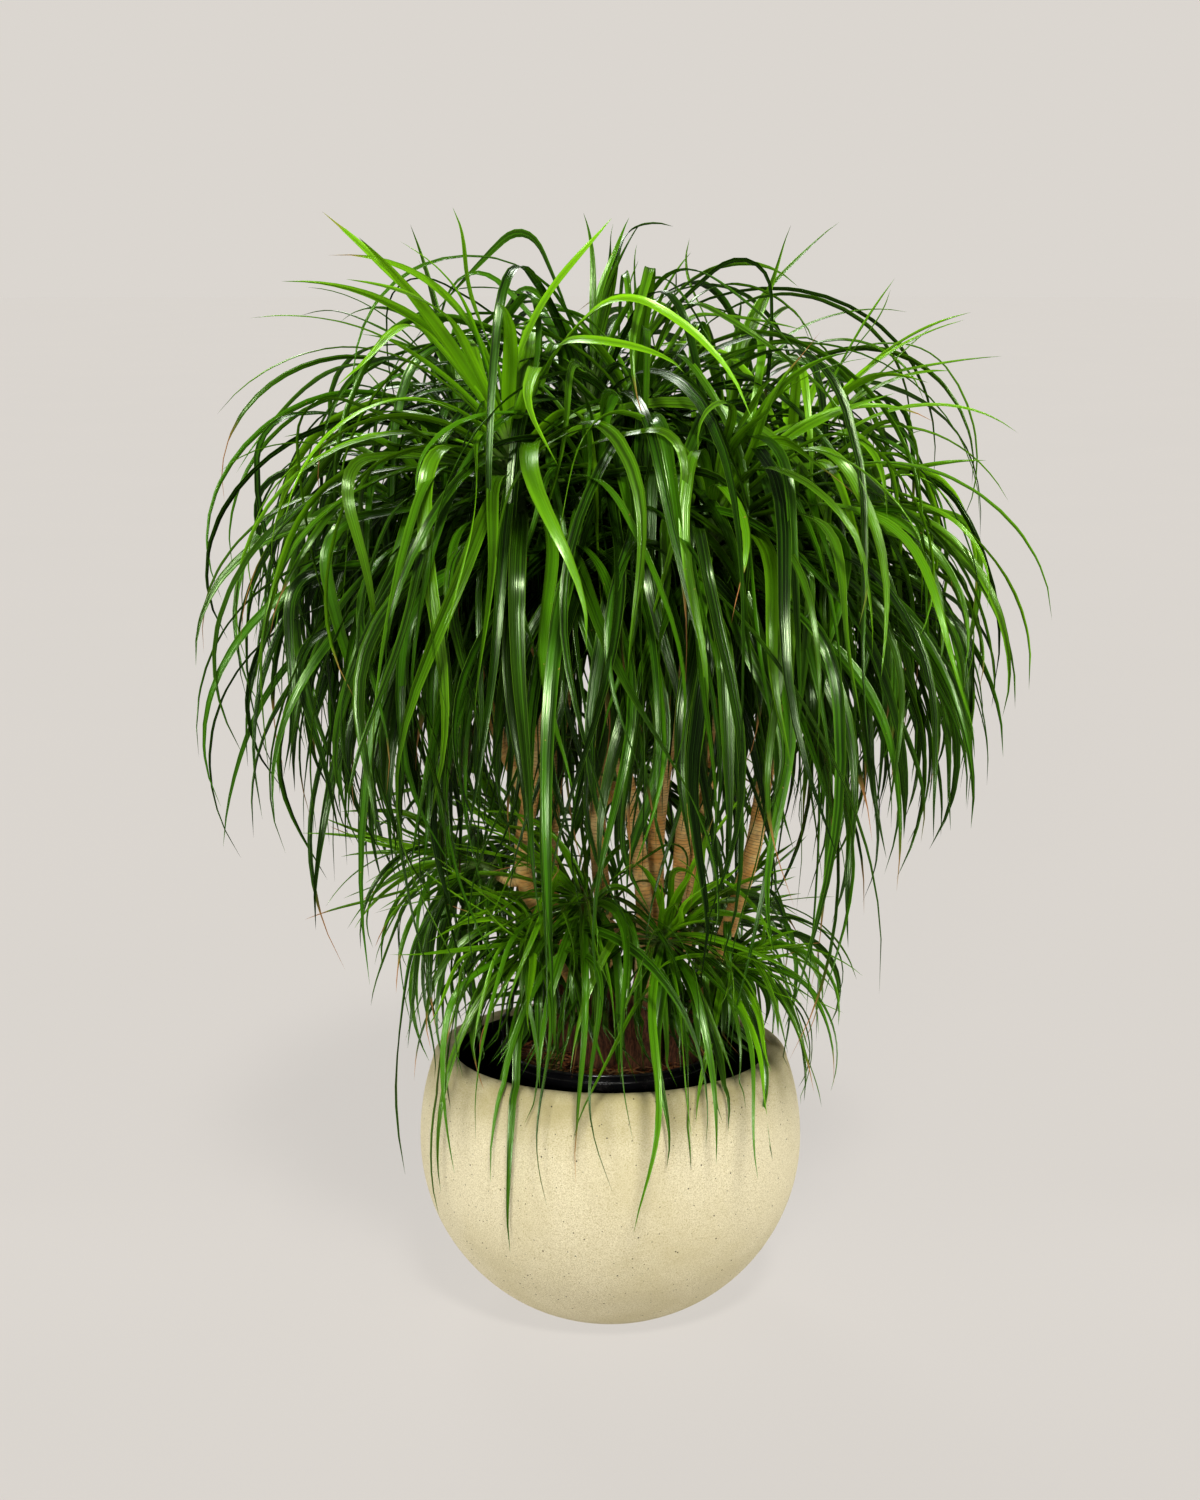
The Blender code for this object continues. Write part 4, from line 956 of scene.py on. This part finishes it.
# %% The course of one leaf
def leaf_course(crown, rank, nudge=0.0, shorten=1.0, young=None):
    """Centre points, side directions, upper face normals and half widths of one leaf.

    young runs from 0, the oldest leaf at the foot of the crown, to 1, the youngest at its tip."""
    seat, shaft, radius = crown_seat(crown)
    young = (rank + 0.5) / crown.leaves if young is None else young
    draw = np.random.default_rng([SEED, crown.number, rank])
    off_turn, off_rise, off_end, off_bend, off_length, off_width = draw.uniform(-1, 1, 6)
    drift, sway, twist, phase, fold, fold_at = draw.uniform(-1, 1, 6)

    # The leaves spiral round the shaft, pulled towards the outside of the tree.
    turn = rank * GOLDEN_TURN + crown.number * 1.7 + 0.3 * off_turn
    turn += math.radians(nudge) - crown.lean * math.sin(turn - math.atan2(seat[1], seat[0]))
    rise = math.radians(OLDEST_RISE + RISE_SPAN * young ** 1.05 + 14 * off_rise)

    # Each leaves its shaft at an angle to the shaft's own tilt.
    tilt = Vector((0, 0, 1)).rotation_difference(Vector(shaft))
    first = tilt @ Vector(direction(turn, rise))
    rise = math.asin(max(-1.0, min(1.0, first.z)))
    turn = math.atan2(first.y, first.x)

    # Old leaves arch over, some with a crease, and hang past the vertical; the youngest are short and stand.
    hang = math.radians(HANGING_RISE - 18 * off_end)
    stand = math.radians(STANDING_RISE + 32 * off_end)
    last_rise = stand + (hang - stand) * ease((1.0 - young) / crown.fresh)
    short = ease(1 - (1 - young) / (1.3 * crown.fresh))
    length = crown.length + (crown.young_length - crown.length) * short
    length *= shorten * (1 + 0.17 * off_length)
    share = np.linspace(0, 1, LEAF_STEPS + 1)
    bend = share ** (LEAF_BEND + 0.55 * young + 0.3 * off_bend)
    crease = ease((share - 0.32 - 0.12 * fold_at) / 0.20)
    keen = LEAF_CREASE * max(fold, 0.0)
    rises = rise + (last_rise - rise) * ((1 - keen) * bend + keen * crease)
    turns = turn + math.radians(LEAF_DRIFT) * drift * share ** 2
    swing = LEAF_SWING * sway * np.sin(math.tau * (1.25 * share + phase)) * np.sqrt(share)

    start = seat + shaft * (GAP + 0.014 + young * (crown.shaft - 0.020))
    start = start + direction(turn, 0.0) * 0.5 * radius * (1 - 0.6 * young)
    points, flat = leaf_line(start, turns, rises, swing, length, crown.hem + 0.07 * fold_at)
    sides, normals = leaf_frame(points, flat, math.radians(LEAF_TWIST) * twist * share ** 1.5)
    broad = crown.width + (crown.young_width - crown.width) * ease((young - 0.35) / 0.45)
    broad *= 1 + 0.25 * off_width
    return points, sides, normals, 0.5 * broad * leaf_width_at(share)


sample = leaf_course(CROWNS["crown_1"], 12)[0]
print("a grown leaf starts at", round(sample[0][2], 2), "m, peaks at", round(sample[:, 2].max(), 2),
      "m and ends at", round(sample[-1][2], 2), "m")

# %% [markdown]
# Every third leaf is also a solid blade of the part, and some of those were turned or shortened to pass
# their neighbours. The leaf has to follow its solid there. Its centre line lies exactly on its solid blade, so
# the same turns are tried again here, and the first one whose centre line touches the solid is the right one.
# The other leaves only have to pass the pots and the canes.

# %% Finding a leaf's place
SOLID_LEAF_EVERY = 3
CROWN_CUTS, SHOOT_CUTS = (0.15, 0.35, 0.55, 0.775, 1.0), (0.20, 0.45, 0.70, 1.0)
NUDGES = (0, 5, -5, 10, -10, 16, -16, 23, -23, 31, -31, 40, -40, 50, -50)
SOLID_SHORTENINGS = (1.0, 0.9, 0.78)
SHORTENINGS = (*SOLID_SHORTENINGS, 0.66)
ON_SOLID, BOX_ROOM = 0.0004, 0.004


def tree_of_nodes(names):
    """One search tree over the meshes of these solids."""
    points, faces = [], []
    for name in names:
        mesh = frame["nodes"][name].data
        faces += [[len(points) + v for v in face.vertices] for face in mesh.polygons]
        points += [tuple(v.co) for v in mesh.vertices]
    return BVHTree.FromPolygons(points, faces)


hard_nodes = ["planter", "grow_pot", "potting_soil", *STEMS]
obstacles = tree_of_nodes(hard_nodes)
print("leaves keep clear of", len(hard_nodes), "solids")


# %% Trying a leaf's place
def tried_courses(crown, rank, shortenings, young=None):
    """The same leaf as it is, then turned a little more each time, then all of that shortened."""
    for shorten in shortenings:
        for nudge in NUDGES:
            yield leaf_course(crown, rank, nudge, shorten, young)


def course_on_solid(crown, rank, cuts, solid):
    """The turned or shortened course whose centre line lies on the crown's solid, or None."""
    picks = [round(cut * LEAF_STEPS) for cut in cuts]
    for course in tried_courses(crown, rank, SOLID_SHORTENINGS):
        if all(solid.find_nearest(Vector(course[0][pick]))[3] < ON_SOLID for pick in picks):
            return course
    return None


def ribbon_tree(course):
    """A thin ribbon along a leaf, for testing what it meets."""
    points, sides, _, halves = (part[2::3] for part in course)
    edges = np.concatenate([points + sides * halves[:, None], points - sides * halves[:, None]])
    count = len(points)
    quads = [(n, n + 1, count + n + 1, count + n) for n in range(count - 1)]
    return BVHTree.FromPolygons([tuple(p) for p in edges], quads)


def inside_box(points):
    low, high = np.array(solids_box)
    return bool(np.all(points > low - BOX_ROOM) and np.all(points < high + BOX_ROOM))


def clear_course(crown, rank, young=None):
    """The first course that meets neither the pots nor a cane and keeps within the solids' box, or None."""
    for course in tried_courses(crown, rank, SHORTENINGS, young):
        if inside_box(course[0]) and not ribbon_tree(course).overlap(obstacles):
            return course
    return None


print("a leaf has", len(NUDGES) * len(SHORTENINGS), "places to try")

# %% [markdown]
# ## The blade
#
# A strap leaf is thin and flat along its middle, and curved across like a shallow gutter, which is what lets
# it stand out so far before it bends. At its root the gutter closes round the stem. Eight points make a ring:
# five across the upper face and three under it. The two edges are knife thin. The mesh keeps them sharp, so
# that light slides off the blade as it does off a real one and not as off a sausage.

# %% Rings of a leaf
ACROSS = np.array([1.0, 0.55, 0.0, -0.55, -1.0, -0.62, 0.0, 0.62])
BENEATH = np.array([0.0, 0.0, 0.0, 0.0, 0.0, 0.8, 1.0, 0.8])
LEAF_THICKNESS, RINGS, RING_EVENNESS = 0.0009, 21, 0.035
DRY_CHANCE, DRY_NARROWING, THINNEST_HALF = 0.15, 0.72, 0.0006
BROAD_HALF, BROAD_NARROWING, SLIM_NARROWING = 0.007, 0.42, 0.15


def ring_picks(points):
    """Steps of a leaf at which it gets a ring: evenly along it, and closer where it bends."""
    ways = unit(np.diff(points, axis=0))
    bends = np.arccos(np.clip(np.sum(ways[1:] * ways[:-1], axis=1), -1, 1))
    worth = np.concatenate([[0, 0], np.cumsum(bends + RING_EVENNESS)])
    return np.unique(np.searchsorted(worth, np.linspace(0, worth[-1], RINGS, endpoint=False), side="right") - 1)


def leaf_sleeve(course, draw, lime, age, loose=0.0):
    """A closed blade on a course, with what the finish needs: place along and across, tone, youth, dryness.

    loose lets a leaf that no solid holds in place twist and taper more."""
    picks = ring_picks(course[0][:-1])
    points, sides, normals, halves = (part[picks] for part in course)
    share = picks / LEAF_STEPS
    sides, normals = rolled(sides, normals, loose * (draw.uniform(-0.5, 0.5) + draw.normal(0, 1.1) * share))
    narrowing = BROAD_NARROWING if halves.max() > BROAD_HALF else SLIM_NARROWING
    halves = halves * (1 - narrowing * loose * draw.uniform())
    dry_from = draw.uniform(0.78, 0.93) if draw.uniform() < DRY_CHANCE else math.inf
    dry = np.clip((share - dry_from) / 0.05, 0, 1)
    halves = np.maximum(halves * (1 - DRY_NARROWING * dry), THINNEST_HALF)
    cup = 1.15 * (1 - ease(share / 0.16)) + draw.uniform(0.28, 0.52) + 0.45 * ease((share - 0.7) / 0.3)
    thick = LEAF_THICKNESS * (1.25 - 0.85 * share)
    bend = cup[:, None] * ACROSS
    sink = thick[:, None] * BENEATH
    ruffle = 0.06 * np.sin(math.tau * (draw.uniform(2, 5) * share[:, None] + draw.uniform())) * ACROSS
    out = halves[:, None] * np.sin(bend) / cup[:, None] + sink * np.sin(bend)
    lift = halves[:, None] * ((1 - np.cos(bend)) / cup[:, None] + ruffle) - sink * np.cos(bend)
    rings = points[:, None] + out[..., None] * sides[:, None] + lift[..., None] * normals[:, None]
    return sleeve(rings, points[0], course[0][-1], along=share[:, None], across=ACROSS[None, :],
                  tone=draw.uniform(), lime=lime, dry=dry[:, None], age=age)


plain_leaf = leaf_sleeve(leaf_course(CROWNS["crown_1"], 12), np.random.default_rng(1), 0.0, 0.5)
print("one blade:", plain_leaf.rings.shape[0], "rings of", plain_leaf.rings.shape[1], "points")


# %% [markdown]
# A leaf's green is never one green. Veins run its whole length as close, pale and dark lines, old leaves are
# deep green and young ones nearly lime, the root is bleached where light never reached it, edges are a thin
# yellow line, and some tips have dried to orange brown. All of that follows the stored values, so it stays
# with the leaf wherever it bends. The gloss is a waxy skin with the veins pressed into it.

# %% Living leaf
GREEN_DEEP, GREEN_MID, GREEN_LIME = (0.003, 0.013, 0.0004), (0.060, 0.200, 0.003), (0.300, 0.660, 0.010)
ROOT_PALE, EDGE_YELLOW, DRY_ORANGE = (0.30, 0.44, 0.12), (0.17, 0.36, 0.02), (0.50, 0.22, 0.07)
VEIN_GREEN, GLOSS_TINT = (0.072, 0.215, 0.007), (0.80, 1.0, 0.62)


def living_leaf():
    leaf = Finish("living_leaf", roughness=0.25, specular=0.8)
    leaf.join(GLOSS_TINT, leaf.shader.inputs["Specular Tint"])
    along, across, tone = leaf.stored("along"), leaf.stored("across"), leaf.stored("tone")
    lane = leaf.node("ShaderNodeCombineXYZ", {0: across, 1: leaf.times(along, 0.35), 2: leaf.times(tone, 60)})
    lane, from_middle = lane.outputs[0], leaf.sums("ABSOLUTE", across)
    veins, pleats = leaf.stretched((15, 3, 1), 2, place=lane), leaf.stretched((2.6, 2, 1), 1, place=lane)
    shade = leaf.times(leaf.sums("POWER", tone, 1.5), 0.65)
    # Painted shade: the pleats also lighten and darken the green in lengthwise stripes, as light and shade fall
    # across the pleated blade.
    shade = leaf.plus(shade, leaf.fade(pleats, 0.35, 0.65, -0.10, 0.45))
    shade = leaf.plus(shade, leaf.fade(leaf.noise(9, 3), 0.3, 0.7, -0.15, 0.15))
    shade = leaf.plus(shade, leaf.fade(leaf.stored("age"), 0.1, 0.9, -0.12, 0.25))
    bright = leaf.times(leaf.stored("lime"), leaf.fade(shade, -0.1, 0.9, 0.45, 1.0))
    bright = leaf.times(bright, leaf.fade(from_middle, 0.0, 0.85, 0.62, 1.05))
    spots = leaf.times(leaf.fade(leaf.noise(170), 0.73, 0.80), leaf.fade(tone, 0.55, 0.8))
    dry = leaf.sums("MAXIMUM", leaf.stored("dry"), leaf.times(spots, 0.7))
    colour = leaf.coats(GREEN_DEEP, (GREEN_MID, shade, 0.0, 1.15), (VEIN_GREEN, veins, 0.52, 0.72, 0.0, 0.55))
    colour = leaf.coats(leaf.blend(bright, colour, GREEN_LIME), (EDGE_YELLOW, from_middle, 0.88, 1.0, 0.0, 0.6),
                        (ROOT_PALE, along, 0.10, 0.015, 0.0, 0.85))
    colour = leaf.blend(dry, colour, DRY_ORANGE)
    gloss = leaf.plus(leaf.fade(veins, 0.3, 0.7, 0.20, 0.28), leaf.times(dry, 0.4))
    return leaf.wear(colour, gloss, leaf.relief(veins, 0.0003, 0.6, over=leaf.relief(pleats, 0.0010, 1.0)))


leaf_finish = living_leaf()
print("leaf finish:", len(leaf_finish.node_tree.nodes), "nodes")

# %% [markdown]
# ## The crowns
#
# A real crown holds more leaves than the solids count, because dozens of older ones hang below, pressed
# together. They are the fill of the plant, so each crown gets some extra leaves between its ranks, the ones at
# the back twice as many. Near the middle they are longer and hang lower, and hide the canes. The shoots at the
# front get a few long leaves that fall over the planter's rim. How lime the young leaves are differs by crown:
# the front left one has just flushed, and the others rest.

# %% Shaft of a crown
SHAFT_SIDES, SHAFT_RINGS, SHAFT_GIRTH = 14, 12, ((0, 0.4, 1), (1.0, 1.25, 0.4))


def shaft_sleeve(crown, draw):
    """The leafy shaft under the leaf roots, square on the end of its cane."""
    seat, shaft, radius = crown_seat(crown)
    side, other = square_to(Vector(shaft), Vector((1, 0, 0)))
    turns = ring_turns(SHAFT_SIDES)
    rings = []
    for share in np.linspace(0, 1, SHAFT_RINGS):
        girth = radius * np.interp(share, *SHAFT_GIRTH)
        middle = seat + shaft * (GAP + share * crown.shaft)
        rings.append(middle + girth * round_ring(turns, 1, side, other))
    ridges = np.cos(3 * turns)[None, :]
    return sleeve(rings, along=0.06, across=ridges, tone=draw.uniform(), lime=0.2, dry=0.0, age=0.5)


print("each shaft:", SHAFT_RINGS, "rings of", SHAFT_SIDES, "points")

# %% Leaves of a crown
FILL_LEAVES, BACK_FILL_LEAVES, SHOOT_FILL_LEAVES = 42, 84, 22
FILL_FIRST_RANK, FILL_YOUNGEST, SHOOT_FILL_YOUNGEST, FILL_HEMS, FILL_HEIGHT = 200, 0.55, 0.95, (-0.09, 0.05), 0.30
BACK_FROM_Y, BACK_LEAN = 0.03, -0.5
INNER_HALF_WIDTH, INNER_HEM_DROP, INNER_LONGER, INNER_REACH = 0.15, 0.17, 1.35, 0.34
SHOOT_FREE_HEM, SHOOT_STRETCH, SHOOT_SLIDE = 0.325, (0.75, 1.35), 0.035
RIM_LEAVES, RIM_FIRST_RANK, RIM_LENGTH, RIM_HEM, RIM_LEAN, RIM_REACH = 11, 300, 0.45, 0.20, 0.95, 0.265
RIM_FROM_Y, RIM_YOUTH, RIM_HEMS = -0.03, (0.2, 0.6), (-0.03, 0.06)


def is_shoot(crown):
    return crown.end[1] == "twigs"


def over_the_rim(crown):
    return is_shoot(crown) and crown_seat(crown)[0][1] < RIM_FROM_Y


def ranked_leaves(name, crown, free):
    """The leaves of the rule: every third one on its solid blade where that exists, the others free."""
    cuts, solid = SHOOT_CUTS if is_shoot(crown) else CROWN_CUTS, tree_of_nodes([name])
    for rank in range(crown.leaves):
        course = None if rank % SOLID_LEAF_EVERY else course_on_solid(crown, rank, cuts, solid)
        yield course or clear_course(free, rank), (rank + 0.5) / crown.leaves, float(course is None)


def fill_leaves(crown, free, draw):
    """The extra leaves between the ranks."""
    (seat, shaft, _), shoot = crown_seat(crown), is_shoot(crown)
    at_back, inner = not shoot and seat[1] > BACK_FROM_Y, not shoot and abs(seat[0]) < INNER_HALF_WIDTH
    fill = SHOOT_FILL_LEAVES if shoot else BACK_FILL_LEAVES if at_back else FILL_LEAVES
    for n in range(fill):
        young, rank = (SHOOT_FILL_YOUNGEST if shoot else FILL_YOUNGEST) * (n + 0.5) / fill, FILL_FIRST_RANK + n
        longer = draw.uniform(*SHOOT_STRETCH) if shoot else 1 + (INNER_LONGER - 1) * inner
        stretch = longer if n % 2 else 1.0
        uneven = free._replace(lean=BACK_LEAN if at_back and n % 2 else free.lean,
                               hem=free.hem - INNER_HEM_DROP * inner + draw.uniform(*FILL_HEMS),
                               length=free.length * stretch, young_length=free.young_length * stretch)
        course = clear_course(uneven, rank, young)
        if course and (inner and np.abs(course[0][:, 0]).max() > INNER_REACH
                       or course[0][:, 2].max() > seat[2] + FILL_HEIGHT):
            course = clear_course(crown, rank, young)
        if course and shoot:
            course = (course[0] - shaft * draw.uniform(0.0, SHOOT_SLIDE), *course[1:])
        yield course, young, 1.0


def rim_leaves(free, draw):
    """The long leaves of a front shoot that fall over the planter's rim."""
    for n in range(RIM_LEAVES):
        young = draw.uniform(*RIM_YOUTH)
        hem = RIM_HEM + draw.uniform(*RIM_HEMS)
        long = free._replace(lean=RIM_LEAN, hem=hem, length=RIM_LENGTH, young_length=RIM_LENGTH)
        course = clear_course(long, RIM_FIRST_RANK + n, young)
        if course and np.abs(course[0][:, 0]).max() < RIM_REACH:
            yield course, young, 1.0


def crown_leaves(name, crown):
    """Every leaf of a crown as (course, young, loose)."""
    draw = np.random.default_rng([31, crown.number])
    free = crown._replace(hem=SHOOT_FREE_HEM) if is_shoot(crown) else crown
    found = [*ranked_leaves(name, crown, free), *fill_leaves(crown, free, draw)]
    if over_the_rim(crown):
        found += rim_leaves(free, draw)
    return [leaf for leaf in found if leaf[0] is not None]


print("shoots with leaves over the rim:", sum(map(over_the_rim, CROWNS.values())))

# %% Grow the crowns
LIME = {"crown_1": 1.0, "crown_8": 1.0, "crown_10": 0.75, "crown_7": 0.6, "crown_9": 0.6, "crown_5": 0.45,
        "crown_2": 0.35}
SHOOT_LIME, RESTING_LIME = 0.75, 0.18
leaf_total = leaf_triangles = on_solids = 0
for name, crown in CROWNS.items():
    draw = np.random.default_rng([29, crown.number])
    flush = LIME.get(name, SHOOT_LIME if is_shoot(crown) else RESTING_LIME)
    sleeves = [shaft_sleeve(crown, draw)]
    for course, young, loose in crown_leaves(name, crown):
        lime = flush * (0.10 + 0.90 * ease((young - 0.52 + 0.2 * flush) / 0.5)) * draw.uniform(0.6, 1.15)
        age = 0.55 + 0.45 * young if is_shoot(crown) else young
        sleeves.append(leaf_sleeve(course, draw, min(1.0, lime), age, loose))
        on_solids += loose == 0.0
    piece = make_piece(name.replace("crown", "leaf_crown").replace("side", "leafy"), sleeves, leaf_finish,
                       [name], 50, columns=math.ceil(len(sleeves) / 3))
    leaf_total += len(sleeves) - 1
    leaf_triangles += triangles(piece)
print("foliage:", leaf_total, "leaves,", on_solids, "on their solids, and", leaf_triangles, "triangles")

# %% [markdown]
# ## Floor, light and camera
#
# The plant stands on a plain pale floor under studio light. A distant lamp above the camera shapes the leaves, a
# low one in front gives the hanging ones their long highlights, and a weak one behind the plant lights its
# edges. The sky is dim, because an even light on glossy leaves lies on them as a grey haze and fills the dark
# gaps between them.
#
# The floor glows a little instead. It lights the underside of the planter, the leaves don't mirror it, and it
# meets the sky without a line. Two small lamps by the floor light the planter's sides. The picture's gamma is
# lowered a little for the deep darks inside the crowns.

# %% Floor
BACKDROP, FLOOR_GLOW, FLOOR_RADIUS, FLOOR_SIDES = (0.746, 0.714, 0.676), 0.65, 60, 64
FLOOR_DARK, FLOOR_PALE = (0.089, 0.085, 0.081), (0.093, 0.088, 0.084)


def pale_floor():
    floor = Finish("pale_floor", roughness=0.95, specular=0.0)
    floor.join(BACKDROP, floor.shader.inputs["Emission Color"])
    floor.join(FLOOR_GLOW / BACKDROP[0], floor.shader.inputs["Emission Strength"])
    return floor.wear(floor.coats(FLOOR_DARK, (FLOOR_PALE, floor.noise(0.9), 0.3, 0.7)))


disc = bpy.data.meshes.new("floor")
disc.from_pydata(round_points(FLOOR_RADIUS, ring_turns(FLOOR_SIDES), 0), [], [list(range(FLOOR_SIDES))])
disc.materials.append(pale_floor())
floor = add_object("floor", disc)
floor.visible_glossy = False
print("floor:", 2 * FLOOR_RADIUS, "m across")

# %% Sky
SKY_ABOVE, SKY_BELOW = 0.11, 0.09


def studio_sky():
    """An even sky for light, darker below; seen directly it has the floor's tone."""
    world = bpy.data.worlds.new("studio_sky")
    scene.world = world
    world.use_nodes = True
    nodes, links = world.node_tree.nodes, world.node_tree.links
    light, seen = nodes["Background"], nodes.new("ShaderNodeBackground")
    light.inputs["Color"].default_value = (1, 1, 1, 1)
    seen.inputs["Color"].default_value = (*BACKDROP, 1)
    place, height = nodes.new("ShaderNodeTexCoord"), nodes.new("ShaderNodeSeparateXYZ")
    level = nodes.new("ShaderNodeMapRange")
    for name, value in (("From Min", -0.2), ("From Max", 0.5), ("To Min", SKY_BELOW), ("To Max", SKY_ABOVE)):
        level.inputs[name].default_value = value
    path, mix = nodes.new("ShaderNodeLightPath"), nodes.new("ShaderNodeMixShader")
    for start, end in ((place.outputs["Generated"], height.inputs[0]), (height.outputs["Z"], level.inputs["Value"]),
                       (level.outputs[0], light.inputs["Strength"]),
                       (path.outputs["Is Camera Ray"], mix.inputs[0]), (light.outputs[0], mix.inputs[1]),
                       (seen.outputs[0], mix.inputs[2]), (mix.outputs[0], nodes["World Output"].inputs["Surface"])):
        links.new(start, end)


studio_sky()
print("sky:", SKY_ABOVE, "above and", SKY_BELOW, "below")

# %% Lamps
PLANTER_MIDDLE, LOW_LAMP_WIDTH, LOW_LAMP_HEIGHT, LOW_LAMP_SPREAD = 0.19, 0.50, 0.16, 60


def stand_up(lamp, place, aim=(0, 0, 0)):
    """Puts a lamp at this place, facing its aim."""
    stand = add_object(lamp.name, lamp)
    stand.location = place
    stand.rotation_euler = (Vector(aim) - Vector(place)).to_track_quat("-Z", "Y").to_euler()
    return stand


def add_sun(name, place, spread, power, colour=(1.0, 1.0, 1.0)):
    """A distant lamp that shines from this place towards the plant; spread is its width in degrees."""
    lamp = bpy.data.lights.new(name, "SUN")
    lamp.energy, lamp.angle, lamp.color = power, math.radians(spread), colour
    stand_up(lamp, place)


def add_low_lamp(name, place, power):
    """A soft lamp by the floor, with a grid that keeps its light on the planter and the lowest leaves."""
    lamp = bpy.data.lights.new(name, "AREA")
    lamp.shape, lamp.size, lamp.size_y = "RECTANGLE", LOW_LAMP_WIDTH, LOW_LAMP_HEIGHT
    lamp.energy, lamp.spread = power, math.radians(LOW_LAMP_SPREAD)
    stand_up(lamp, place, (0, 0, PLANTER_MIDDLE)).visible_camera = False


add_sun("key_sun", (0.4, -2.4, 2.9), 9, 2.6, (1.0, 0.985, 0.95))
add_sun("front_sun", (-0.7, -3.2, 0.7), 12, 1.6)
add_sun("back_sun", (-0.9, 3.0, 2.0), 20, 0.9)
add_low_lamp("left_lamp", (-1.20, 0.10, 0.12), 0.65)
add_low_lamp("right_lamp", (1.20, 0.10, 0.12), 0.80)
scene.view_settings.view_transform = "Standard"
scene.view_settings.gamma = 0.85
print("lamps:", sum(thing.type == "LIGHT" for thing in scene.objects))

# %% [markdown]
# The camera stands three and a half metres away, a little under a metre and a half up, and looks slightly
# down, so that the mouth of the planter opens into an oval. The long lens keeps the sides of the planter
# nearly parallel.

# %% Camera
CAMERA_PLACE, CAMERA_DOWN, FOCAL_PIXELS, PICTURE_HEIGHT = (-0.0134, -3.5, 1.41), 10.7, 2734, 1500
SENSOR_HEIGHT = 36.0

camera_data = bpy.data.cameras.new("camera")
camera_data.sensor_fit, camera_data.sensor_height = "VERTICAL", SENSOR_HEIGHT
camera_data.lens = SENSOR_HEIGHT * FOCAL_PIXELS / PICTURE_HEIGHT
camera = add_object("camera", camera_data)
camera.location = CAMERA_PLACE
camera.rotation_euler = (math.radians(90 - CAMERA_DOWN), 0, 0)
scene.camera = camera
print("lens:", round(camera_data.lens, 1), "mm")

# %% [markdown]
# ## The end
#
# The dressed plant has to be as large as its solids.

# %% The end
import json
